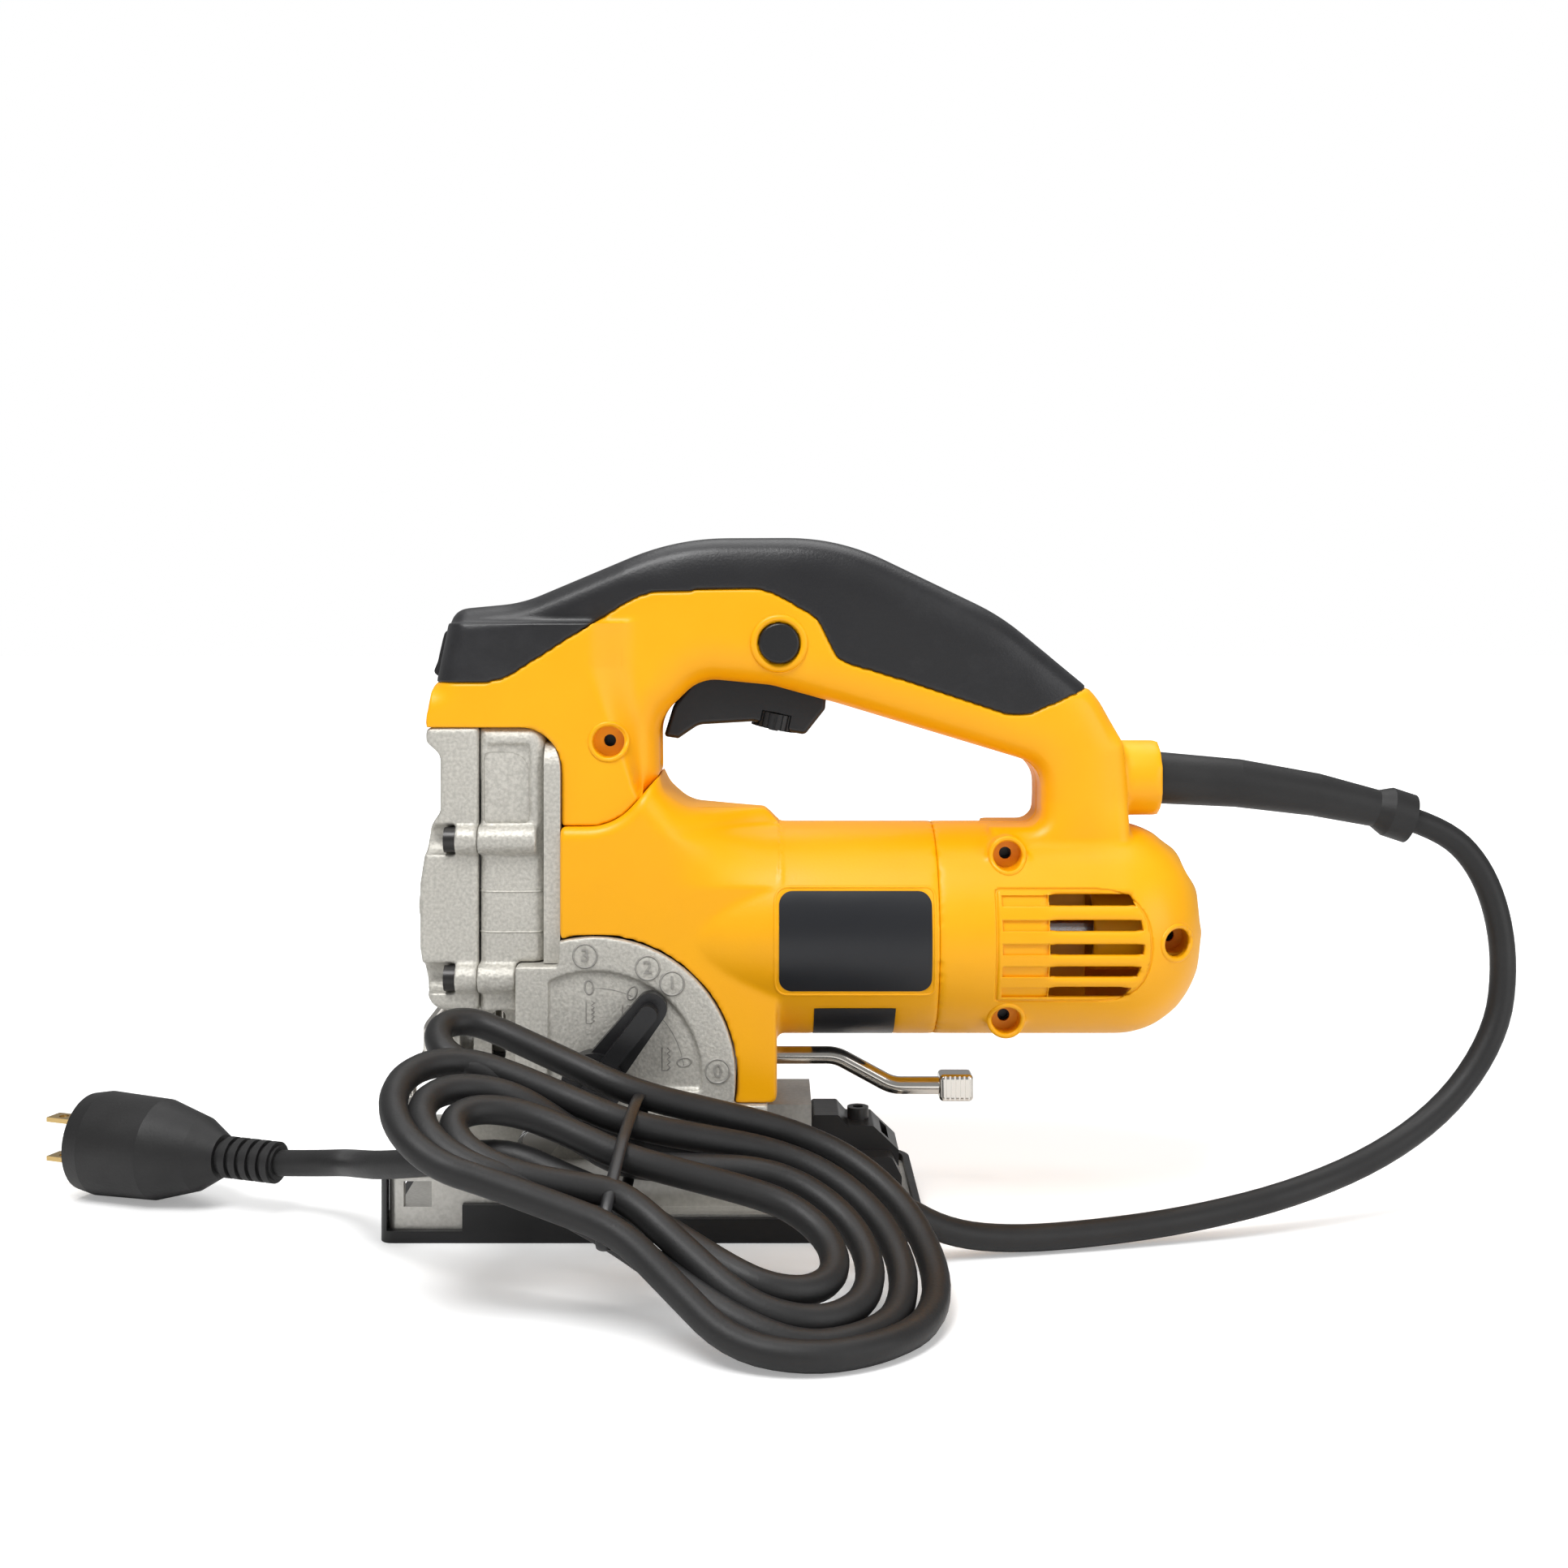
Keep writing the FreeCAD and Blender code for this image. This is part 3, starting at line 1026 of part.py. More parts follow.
def shoe_bracket():
    """Folded steel bracket at the rear of the arch."""
    x = ARCH_X[1] + 0.8
    floor = SOLE_THICK + SHOE_PLATE_THICK
    rear = shoe_rear_x() - 5.6
    upper = prism([(x, floor, 0), (x, 31, 1), (57, 31, 1), (60, 27.6, 1), (68, 27.6, 1), (76, 20, 0),
                   (76, floor, 0)], "xz", -10, 10)
    low_side = [(x, floor, 0), (x, 20, 1), (rear - 3, 20, 2), (rear, 14, 1), (rear, floor, 0)]
    lower = prism(low_side, "xz", -18, 18)
    body = upper.fuse(lower)
    body = body.cut(slab((x + 3, rear - 3), (0, 17), 15)).cut(slab((x + 3, 73), (10, 25), 7))
    return body.cut(rod_z(2.0, 60.6 + 3, 0, (10, 40))).removeSplitter()


def bracket_bolt():
    """Socket-head bolt on the rear bracket."""
    x = 60.6 + 3
    head = rod_z(3.4, x, 0, (27.6, 31.2)).cut(rod_z(1.7, x, 0, (29.2, 32)))
    return head.fuse(rod_z(2.0, x, 0, (20, 27.7)))


# --- soft pieces: cord, hank and plug --------------------------------------------------------
def tube(route, radius, name):
    """Cord of straight runs joined by the largest tangent arcs they allow."""
    points = [V(*p) for p in route]
    corners = []
    for i, point in enumerate(points):
        if 0 < i < len(points) - 1:
            back = points[i - 1] - point
            ahead = points[i + 1] - point
            turn = math.pi - back.getAngle(ahead)
            bend = 0.45 * min(back.Length, ahead.Length) / math.tan(turn / 2)
            print(f"{name}: corner {i} bend radius {bend:.0f} mm, turn {math.degrees(turn):.0f} degrees")
        else:
            bend = 0
        corners.append((route[i], bend))
    solid, path = wire_sweep(corners, radius)
    expected = math.pi * radius ** 2 * path.Length
    print(f"{name}: length {path.Length:.1f} mm, volume {solid.Volume / expected:.4f} of section x length")
    return solid


def hank_space(extra):
    """Sloping slab of the hank's outline, grown evenly by a small amount."""
    face = Part.Face(rounded_wire(HANK_OUTLINE, PLANES["xy"][0](HANK_LOW)))
    if extra:
        face = face.makeOffset2D(extra)
    x, y, z = HANK_CENTRE
    half = HANK_THICK / 2 + extra
    tilt_y = math.degrees(math.atan(-HANK_SLOPE_X))
    tilt_x = math.degrees(math.atan(HANK_SLOPE_Y * math.cos(math.radians(tilt_y))))
    layer = box((-250, 250), (-250, 250), (z - half, z + half))
    layer.rotate(V(0, 0, z), V(1, 0, 0), tilt_x)
    layer.rotate(V(0, 0, z), V(0, 1, 0), tilt_y)
    layer.translate(V(x, y, 0))
    return max(face.extrude(V(0, 0, 110)).common(layer).Solids, key=lambda s: s.Volume)


def hank():
    """Outer shape of the tied hank, which rests on the floor in front."""
    return hank_space(0)


def hank_tie():
    """Band that holds the hank's turns together, round its middle."""
    return hank_space(TIE_THICK).common(box(TIE_X, (-250, 0), (0, 110))).cut(hank())


def plug_place(solid):
    """Turn and move a solid from the plug's own axis to the end of the cord, where the plug lies."""
    solid.translate(V(-PLUG_LONG, 0, 0))
    solid.rotate(V(0, 0, 0), V(0, 0, 1), -PLUG_YAW)
    solid.translate(V(*TAIL_ROUTE[-1]))
    return solid


def plug_body():
    """Moulded plug with waisted grip and ribbed neck."""
    widths = [(0, 14.5, 15.4), (6, 15.5, 16.5), (28, 15.0, 15.8), (43, 11.0, 11.6), (51, 6.6, 6.8)]
    rings = []
    for x, half_y, half_z in widths:
        ellipse = Part.Ellipse(V(x, 0, 0), half_z, half_y)
        ellipse.rotate(FreeCAD.Placement(V(x, 0, 0), V(0, 0, 1), 0))
        edge = ellipse.toShape()
        edge.rotate(V(x, 0, 0), V(0, 1, 0), 90)
        rings.append(Part.Wire(edge))
    body = Part.makeLoft(rings, True, True)
    neck = rod_x(5.2, (50, PLUG_LONG), 0, 0)
    parts = [body, neck]
    for i in range(5):
        parts.append(rod_x(6.4, (53.0 + 3.9 * i, 55.4 + 3.9 * i), 0, 0))
    solid = fuse(parts)
    return plug_place(solid)


def plug_blades():
    """Two flat brass blades, one above the other as the plug lies."""
    blades = []
    for side in (-1, 1):
        z = side * BLADE_SPACING / 2
        blade = box((-BLADE_REACH, 6), (-3.15, 3.15), (z - 0.75, z + 0.75))
        blade = blade.cut(rod_z(1.6, 4.5 - BLADE_REACH, 0, (z - 2, z + 2)))
        blades.append(plug_place(blade))
    return group(blades)


# --- build ------------------------------------------------------------------------------------
def build():
    """Make every node and write it to its own file."""
    left_shell, right_shell = split(shell_body())
    left_grip, right_grip = split(grip_body())
    rear_bearing, front_bearing = bearings()
    shaft, core, commutator, fan = armature_parts()
    body = plug_body()
    blades = plug_blades()
    nodes = {
        "left_shell": left_shell, "right_shell": right_shell,
        "left_grip": left_grip, "right_grip": right_grip,
        "field_case": field_case(), "label_plates": label_plates(),
        "gear_case": gear_case(), "gear_case_cover": gear_case_cover(),
        "bearing_plate": bearing_plate(), "quadrant_housing": quadrant_housing(),
        "plunger_guard": plunger_guard(), "finger_guard": finger_guard(),
        "stator": stator(), "field_coils": field_coils(),
        "rear_bearing": rear_bearing, "front_bearing": front_bearing,
        "brush_holders": brush_holders(), "brushes": brushes(),
        "switch_body": switch_body(), "cord_clamp": cord_clamp(), "strain_relief": strain_relief(),
        "shell_screws": screws(), "gear_case_screws": gear_case_screws(),
        "plunger_bushings": plunger_bushings(), "gear_axle": gear_axle(), "fork_pin": fork_pin(),
        "counterweight_guides": counterweight_guides(), "trigger_pin": trigger_pin(),
        "release_pin": release_pin(), "clamp_bolt": clamp_bolt(),
        "armature_shaft": shaft, "armature_core": core, "commutator": commutator, "fan": fan,
        "drive_gear": drive_gear(), "plunger": plunger(), "yoke": yoke(), "blade_clamp": blade_clamp(),
        "clamp_collar": clamp_collar(), "counterweight": counterweight(),
        "roller_fork": roller_fork(), "guide_roller": guide_roller(),
        "pendulum_lever": pendulum_lever(), "trigger": trigger(), "speed_dial": speed_dial(),
        "lock_button": lock_button(), "release_lever": release_lever(), "bevel_lever": bevel_lever(),
        "saddle": saddle(), "shoe_plate": shoe_plate(), "shoe_cover": shoe_cover(),
        "splinter_insert": splinter_insert(), "shoe_bracket": shoe_bracket(), "bracket_bolt": bracket_bolt(),
        "cord_lead": tube(LEAD_ROUTE, CORD_R, "cord_lead"),
        "cord_tail": tube(TAIL_ROUTE, CORD_R, "cord_tail"),
        "cord_hank": hank(), "hank_tie": hank_tie(), "plug_body": body.cut(blades), "plug_blades": blades,
    }
    os.makedirs("parts", exist_ok=True)
    for name, shape in nodes.items():
        counts = len(shape.Solids)
        print(f"{name}: {counts} solid(s), valid {shape.isValid()}, {shape.Volume / 1000:.2f} cm3")
        shape.exportStep(os.path.join("parts", name + ".step"))


build()
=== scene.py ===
"""Studio scene of a corded orbital jigsaw, its lead tied in a hank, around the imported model."""

import json
import logging
import math
from dataclasses import dataclass, field
from enum import Enum
from typing import Sequence

import bmesh
import bpy
import numpy as np
from mathutils import Matrix, Vector
from mathutils.bvhtree import BVHTree


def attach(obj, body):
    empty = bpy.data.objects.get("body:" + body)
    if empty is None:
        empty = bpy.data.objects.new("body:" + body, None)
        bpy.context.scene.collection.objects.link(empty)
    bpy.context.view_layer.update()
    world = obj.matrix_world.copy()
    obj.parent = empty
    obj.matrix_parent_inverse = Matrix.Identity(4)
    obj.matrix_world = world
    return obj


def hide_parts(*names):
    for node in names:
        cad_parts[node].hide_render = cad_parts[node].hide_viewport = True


LOG = logging.getLogger("jigsaw")
MM = 0.001
Point = tuple[float, float, float]

NOISE_LOW, NOISE_HIGH = 0.3, 0.7
DRAWN_STRETCH = (0.04, 1, 1)
BUMP_DEPTH = 0.0004

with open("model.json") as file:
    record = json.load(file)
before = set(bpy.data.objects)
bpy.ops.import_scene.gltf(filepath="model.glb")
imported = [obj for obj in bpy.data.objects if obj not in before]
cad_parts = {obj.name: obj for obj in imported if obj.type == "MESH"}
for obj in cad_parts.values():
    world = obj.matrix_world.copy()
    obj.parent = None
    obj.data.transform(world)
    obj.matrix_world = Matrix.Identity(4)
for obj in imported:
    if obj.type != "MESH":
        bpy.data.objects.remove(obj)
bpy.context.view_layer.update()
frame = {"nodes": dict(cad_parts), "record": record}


# --- small helpers ---
def linked(name: str, data: bpy.types.ID) -> bpy.types.Object:
    """Puts new data into the scene as an object at the origin.

    Args:
        name: name of the piece.
        data: mesh, curve, light or camera data.

    Returns:
        The linked object.
    """
    piece = bpy.data.objects.new(name, data)
    bpy.context.scene.collection.objects.link(piece)
    return piece


def from_bmesh(name: str, bm: bmesh.types.BMesh, smooth: bool = True) -> bpy.types.Object:
    """Turns a bmesh in millimetres into a piece in metres.

    Args:
        name: name of the piece.
        bm: the shape, freed here.
        smooth: whether its faces are shaded smooth.

    Returns:
        The new object.
    """
    bmesh.ops.remove_doubles(bm, verts=bm.verts, dist=1e-4)
    bmesh.ops.recalc_face_normals(bm, faces=bm.faces)
    bmesh.ops.scale(bm, vec=(MM, MM, MM), verts=bm.verts)
    mesh = bpy.data.meshes.new(name)
    bm.to_mesh(mesh)
    bm.free()
    for polygon in mesh.polygons:
        polygon.use_smooth = smooth
    return linked(name, mesh)


def evaluated(piece: bpy.types.Object) -> bpy.types.Mesh:
    """New mesh of a piece as its modifiers or its bevel leave it."""
    return bpy.data.meshes.new_from_object(piece.evaluated_get(bpy.context.evaluated_depsgraph_get()))


def applied(piece: bpy.types.Object) -> bpy.types.Object:
    """Bakes a piece's modifiers into its mesh.

    Args:
        piece: object with modifiers.

    Returns:
        The same object without modifiers.
    """
    mesh = evaluated(piece)
    piece.modifiers.clear()
    piece.data = mesh
    return piece


def meshed(piece: bpy.types.Object) -> bpy.types.Object:
    """Turns a curve or a text into a closed mesh piece of the same name.

    Args:
        piece: curve or text object, removed here.

    Returns:
        The mesh object.
    """
    name = piece.name
    mesh = evaluated(piece)
    bpy.data.objects.remove(piece)
    bm = bmesh.new()
    bm.from_mesh(mesh)
    bmesh.ops.scale(bm, vec=(1 / MM, 1 / MM, 1 / MM), verts=bm.verts)
    return from_bmesh(name, bm)


def rounded(corners: Sequence[Point], close: bool = False) -> np.ndarray:
    """Line through corners (x, z, radius) with its corners rounded.

    Args:
        corners: the corners and their radii.
        close: whether the line runs back to its first corner.

    Returns:
        One row (x, z) for each point of the line.
    """
    ring = [corners[-1], *corners, corners[0]] if close else list(corners)
    points = [] if close else [np.array(corners[0][:2], float)]
    for before, corner, after in zip(ring, ring[1:], ring[2:]):
        here = np.array(corner[:2], float)
        back = np.array(before[:2], float) - here
        ahead = np.array(after[:2], float) - here
        back, ahead = back / np.linalg.norm(back), ahead / np.linalg.norm(ahead)
        half = math.acos(max(-1.0, min(1.0, float(back @ ahead)))) / 2
        reach = corner[2] / math.tan(half)
        for share in np.linspace(0, 1, 9):
            first, second = here + back * reach * (1 - share), here + ahead * reach * share
            points.append(first * (1 - share) + second * share)
    points.append(points[0] if close else np.array(corners[-1][:2], float))
    return np.array(points)


def circle(x: float, z: float, reach_x: float, reach_z: float, tilt: float = 0.0) -> np.ndarray:
    """Closed ellipse in side view.

    Args:
        x: first coordinate of its centre.
        z: second coordinate of its centre.
        reach_x: half its width.
        reach_z: half its height.
        tilt: turn in degrees.

    Returns:
        One row (x, z) for each point.
    """
    angle = np.linspace(0, 2 * math.pi, 41)
    across, up = reach_x * np.cos(angle), reach_z * np.sin(angle)
    lean = math.radians(tilt)
    return np.stack([x + across * math.cos(lean) - up * math.sin(lean),
                     z + across * math.sin(lean) + up * math.cos(lean)], 1)


def pushed(bm: bmesh.types.BMesh, faces: Sequence[bmesh.types.BMFace],
           by: Point) -> list[bmesh.types.BMVert]:
    """Extrudes faces by a vector.

    Args:
        bm: the shape.
        faces: faces of it that touch each other.
        by: how far the new ones are moved.

    Returns:
        The new vertices.
    """
    moved = bmesh.ops.extrude_face_region(bm, geom=faces)["geom"]
    verts = [v for v in moved if isinstance(v, bmesh.types.BMVert)]
    bmesh.ops.translate(bm, verts=verts, vec=by)
    return verts


def prism(name: str, outline: Sequence[Sequence[float]], deep: tuple[float, float]) -> bpy.types.Object:
    """Closed block with an outline in side view, from one depth to another.

    Args:
        name: name of the block.
        outline: its corners (x, z).
        deep: its first and last y.

    Returns:
        The block.
    """
    bm = bmesh.new()
    ring = [bm.verts.new((x, deep[0], z)) for x, z in outline]
    face = bmesh.ops.contextual_create(bm, geom=ring)["faces"]
    pushed(bm, face, (0, deep[1] - deep[0], 0))
    return from_bmesh(name, bm, smooth=False)


def carved(piece: bpy.types.Object, cutters: Sequence[bpy.types.Object]) -> bpy.types.Object:
    """Cuts closed blocks out of a piece, and removes them.

    Args:
        piece: the closed piece.
        cutters: what to cut away.

    Returns:
        The piece.
    """
    for cutter in cutters:
        cut = piece.modifiers.new("carve", "BOOLEAN")
        cut.operation = "DIFFERENCE"
        cut.solver = "MANIFOLD"
        cut.object = cutter
    applied(piece)
    for cutter in cutters:
        bpy.data.objects.remove(cutter)
    return piece


def mounted(piece: bpy.types.Object, slot: str, *nodes: str) -> bpy.types.Object:
    """Hangs a finished piece on the housing, hides the solids that it replaces and logs its slot.

    Args:
        piece: the finished piece.
        slot: material slot of the record.
        nodes: solids that it replaces.

    Returns:
        The piece.
    """
    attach(piece, "housing")
    if nodes:
        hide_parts(*nodes)
    LOG.info("piece %s, slot %s", piece.name, slot)
    return piece


# --- finishes ---
def preset(node: bpy.types.Node, values: dict[str | int, object]) -> None:
    """Sets constants on the unlinked sockets of a node, by their names or places."""
    for socket, value in values.items():
        node.inputs[socket].default_value = value


def added(nodes: bpy.types.Nodes, kind: str, values: dict[str | int, object] | None = None,
          **settings: object) -> bpy.types.Node:
    """Adds a shader node.

    Args:
        nodes: nodes of the tree.
        kind: its type, after "ShaderNode".
        values: constants of its unlinked sockets.
        settings: its own properties, set before the constants.

    Returns:
        The node.
    """
    node = nodes.new("ShaderNode" + kind)
    for name, value in settings.items():
        setattr(node, name, value)
    preset(node, values or {})
    return node


class Skin(Enum):
    """Kinds of surface detail."""

    MOULDED = "moulded"
    CAST = "cast"
    DRAWN = "drawn"
    POLISHED = "polished"


@dataclass(frozen=True)
class Finish:
    """One finish: its colours, its gloss and its surface detail."""

    colour: Point
    shade: Point
    rough: tuple[float, float]
    skin: Skin
    metallic: float = 0.0
    specular: float = 0.5
    grain: float = 900.0
    bump: float = 0.12
    dust: float = 0.0
    dust_colour: Point = (0.30, 0.28, 0.25)


FINISHES: dict[str, Finish] = {
    "yellow_plastic": Finish((0.93, 0.43, 0.0), (0.84, 0.365, 0.0), (0.34, 0.46), Skin.MOULDED,
                             specular=0.34, grain=1500, bump=0.06, dust=0.05,
                             dust_colour=(0.62, 0.30, 0.01)),
    "soft_grip": Finish((0.008, 0.008, 0.009), (0.017, 0.017, 0.019), (0.34, 0.48), Skin.MOULDED,
                        specular=0.42, grain=1300, bump=0.12, dust=0.10, dust_colour=(0.16, 0.16, 0.17)),
    "black_plastic": Finish((0.008, 0.008, 0.009), (0.014, 0.014, 0.015), (0.30, 0.44), Skin.MOULDED,
                            specular=0.42, grain=1400, bump=0.06, dust=0.06, dust_colour=(0.14, 0.13, 0.12)),
    "label_black": Finish((0.012, 0.013, 0.016), (0.018, 0.019, 0.022), (0.28, 0.40), Skin.POLISHED,
                          specular=0.35, grain=700, bump=0.02),
    "cast_aluminium": Finish((0.66, 0.64, 0.585), (0.40, 0.388, 0.352), (0.50, 0.62), Skin.CAST,
                             metallic=0.5, grain=1000, bump=0.45, dust=0.14, dust_colour=(0.30, 0.28, 0.24)),
    # Darker copy of the cast aluminium for the raised digits, rings and marks: painted shade that stands in
    # for the shadow round them.
    "cast_painted_shade": Finish((0.40, 0.39, 0.36), (0.28, 0.27, 0.25), (0.50, 0.62), Skin.CAST,
                        metallic=0.5, grain=1000, bump=0.2, dust=0.2, dust_colour=(0.16, 0.15, 0.13)),
    "machined_aluminium": Finish((0.58, 0.565, 0.53), (0.44, 0.43, 0.40), (0.34, 0.48), Skin.CAST, 0.8,
                                 grain=800, bump=0.18, dust=0.16, dust_colour=(0.30, 0.28, 0.24)),
    "steel": Finish((0.42, 0.41, 0.39), (0.32, 0.31, 0.29), (0.28, 0.42), Skin.DRAWN, metallic=1.0,
                    bump=0.05),
    "chrome_steel": Finish((0.72, 0.70, 0.66), (0.60, 0.57, 0.52), (0.10, 0.22), Skin.POLISHED,
                           metallic=1.0, bump=0.02),
    "black_steel": Finish((0.020, 0.020, 0.022), (0.04, 0.038, 0.036), (0.30, 0.44), Skin.DRAWN,
                          metallic=0.5, bump=0.05),
    "bearing_steel": Finish((0.5, 0.5, 0.5), (0.4, 0.4, 0.4), (0.18, 0.30), Skin.POLISHED, metallic=1.0),
    "lamination": Finish((0.20, 0.20, 0.21), (0.13, 0.13, 0.14), (0.40, 0.55), Skin.DRAWN, metallic=0.9),
    "bronze": Finish((0.46, 0.30, 0.13), (0.34, 0.21, 0.09), (0.35, 0.50), Skin.CAST, metallic=1.0),
    "copper": Finish((0.62, 0.27, 0.12), (0.48, 0.19, 0.08), (0.26, 0.40), Skin.DRAWN, metallic=1.0),
    "brass": Finish((0.66, 0.47, 0.20), (0.52, 0.36, 0.15), (0.22, 0.34), Skin.POLISHED, metallic=1.0),
    "carbon": Finish((0.02, 0.02, 0.02), (0.035, 0.035, 0.035), (0.55, 0.70), Skin.CAST),
    "cord_rubber": Finish((0.008, 0.008, 0.0085), (0.015, 0.0145, 0.0145), (0.44, 0.58), Skin.MOULDED,
                          specular=0.38, grain=1100, bump=0.10, dust=0.07, dust_colour=(0.13, 0.13, 0.13)),
}


def wired(links: bpy.types.NodeLinks, *wires: tuple) -> None:
    """Links nodes.

    Args:
        links: links of the tree.
        wires: a node, its output, the next node and its input, for each link.
    """
    for start, output, end, entry in wires:
        links.new(start.outputs[output], end.inputs[entry])


class Workshop:
    """Builds the shared node groups and the materials."""

    def __init__(self) -> None:
        """Makes the groups once."""
        self.detail = self._surface_detail()
        self.wear = self._handling()
        self.made: dict[str, bpy.types.Material] = {}

    @staticmethod
    def _group(name: str, inputs: Sequence[tuple[str, str]],
               outputs: Sequence[tuple[str, str]]) -> bpy.types.NodeTree:
        """Empty shader group with named sockets.

        Args:
            name: name of the group.
            inputs: names and socket kinds going in.
            outputs: names and socket kinds coming out.

        Returns:
            The group.
        """
        group = bpy.data.node_groups.new(name, "ShaderNodeTree")
        for label, kind in inputs:
            group.interface.new_socket(name=label, in_out="INPUT", socket_type=kind)
        for label, kind in outputs:
            group.interface.new_socket(name=label, in_out="OUTPUT", socket_type=kind)
        return group

    def _surface_detail(self) -> bpy.types.NodeTree:
        """Fine grain and slow unevenness of a moulded, cast or drawn skin."""
        value, vector = "NodeSocketFloat", "NodeSocketVector"
        group = self._group("surface_detail", [("Place", vector), ("Grain", value), ("Stretch", vector)],
                            [("Height", value), ("Tone", value), ("Speck", value)])
        nodes, links = group.nodes, group.links
        entry, leave = nodes.new("NodeGroupInput"), nodes.new("NodeGroupOutput")
        squeeze = added(nodes, "VectorMath", operation="MULTIPLY")
        wired(links, (entry, "Place", squeeze, 0), (entry, "Stretch", squeeze, 1))
        fine = added(nodes, "TexNoise", {"Detail": 2.0})
        wired(links, (squeeze, 0, fine, "Vector"), (entry, "Grain", fine, "Scale"))
        cells = added(nodes, "TexVoronoi", feature="SMOOTH_F1")
        wired(links, (squeeze, 0, cells, "Vector"), (entry, "Grain", cells, "Scale"))
        blend = added(nodes, "Math", {1: 0.6}, operation="MULTIPLY_ADD")
        wired(links, (cells, "Distance", blend, 0), (fine, "Fac", blend, 2))
        slow = added(nodes, "TexNoise", {"Scale": 38.0, "Detail": 5.0})
        wired(links, (entry, "Place", slow, "Vector"), (blend, 0, leave, "Height"),
              (slow, "Fac", leave, "Tone"))
        speck = added(nodes, "TexNoise", {"Detail": 1.0})
        wired(links, (entry, "Place", speck, "Vector"), (entry, "Grain", speck, "Scale"))
        spread = added(nodes, "MapRange", {"From Min": NOISE_LOW, "From Max": NOISE_HIGH})
        wired(links, (speck, "Fac", spread, "Value"))
        even = added(nodes, "Math", {1: 0.45}, operation="MULTIPLY_ADD")
        wired(links, (slow, "Fac", even, 0))
        half = added(nodes, "Math", {1: 0.55}, operation="MULTIPLY")
        wired(links, (spread, "Result", half, 0), (half, 0, even, 2), (even, 0, leave, "Speck"))
        return group

    def _handling(self) -> bpy.types.NodeTree:
        """Dust and rub marks left by handling, as one mask."""
        value, vector = "NodeSocketFloat", "NodeSocketVector"
        group = self._group("handling_marks", [("Place", vector), ("Amount", value)], [("Mask", value)])
        nodes, links = group.nodes, group.links
        entry, leave = nodes.new("NodeGroupInput"), nodes.new("NodeGroupOutput")
        patches = added(nodes, "TexNoise", {"Scale": 22.0, "Detail": 8.0, "Roughness": 0.68})
        wired(links, (entry, "Place", patches, "Vector"))
        step = added(nodes, "MapRange", {"From Min": 0.50, "From Max": 0.78})
        wired(links, (patches, "Fac", step, "Value"))
        scale = added(nodes, "Math", operation="MULTIPLY")
        wired(links, (step, "Result", scale, 0), (entry, "Amount", scale, 1), (scale, 0, leave, "Mask"))
        return group

    def material(self, slot: str) -> bpy.types.Material:
        """Material of one finish, built on first use.

        Args:
            slot: a name in FINISHES, which holds every material slot of the record.

        Returns:
            The material.
        """
        if slot not in self.made:
            self.made[slot] = self._build(slot, FINISHES[slot])
        return self.made[slot]

    def _build(self, name: str, finish: Finish) -> bpy.types.Material:
        """Node tree of one finish.

        Args:
            name: name of the material.
            finish: what it looks like.

        Returns:
            The material.
        """
        material = bpy.data.materials.new(name)
        material.use_nodes = True
        nodes, links = material.node_tree.nodes, material.node_tree.links
        shader = nodes["Principled BSDF"]
        preset(shader, {"Metallic": finish.metallic, "Specular IOR Level": finish.specular})
        place = added(nodes, "TexCoord")
        stretch = DRAWN_STRETCH if finish.skin is Skin.DRAWN else (1, 1, 1)
        detail = added(nodes, "Group", {"Grain": finish.grain, "Stretch": stretch}, node_tree=self.detail)
        wired(links, (place, "Object", detail, "Place"))
        marks = added(nodes, "Group", {"Amount": finish.dust}, node_tree=self.wear)
        wired(links, (place, "Object", marks, "Place"))
        tone = added(nodes, "Mix", {"A": (*finish.shade, 1), "B": (*finish.colour, 1)}, data_type="RGBA")
        mottle = "Speck" if finish.skin is Skin.CAST else "Tone"
        wired(links, (detail, mottle, tone, "Factor"))
        dusted = added(nodes, "Mix", {"B": (*finish.dust_colour, 1)}, data_type="RGBA")
        wired(links, (marks, "Mask", dusted, "Factor"), (tone, "Result", dusted, "A"),
              (dusted, "Result", shader, "Base Color"))
        gloss = added(nodes, "MapRange", {"From Min": NOISE_LOW, "From Max": NOISE_HIGH,
                                          "To Min": finish.rough[0], "To Max": finish.rough[1]})
        wired(links, (detail, "Tone", gloss, "Value"), (gloss, "Result", shader, "Roughness"))
        bump = added(nodes, "Bump", {"Strength": finish.bump, "Distance": BUMP_DEPTH})
        wired(links, (detail, "Height", bump, "Height"), (bump, "Normal", shader, "Normal"))
        return material

    def dress(self, piece: bpy.types.Object, slot: str) -> bpy.types.Object:
        """Gives a piece the material of a finish."""
        piece.data.materials.clear()
        piece.data.materials.append(self.material(slot))
        return piece


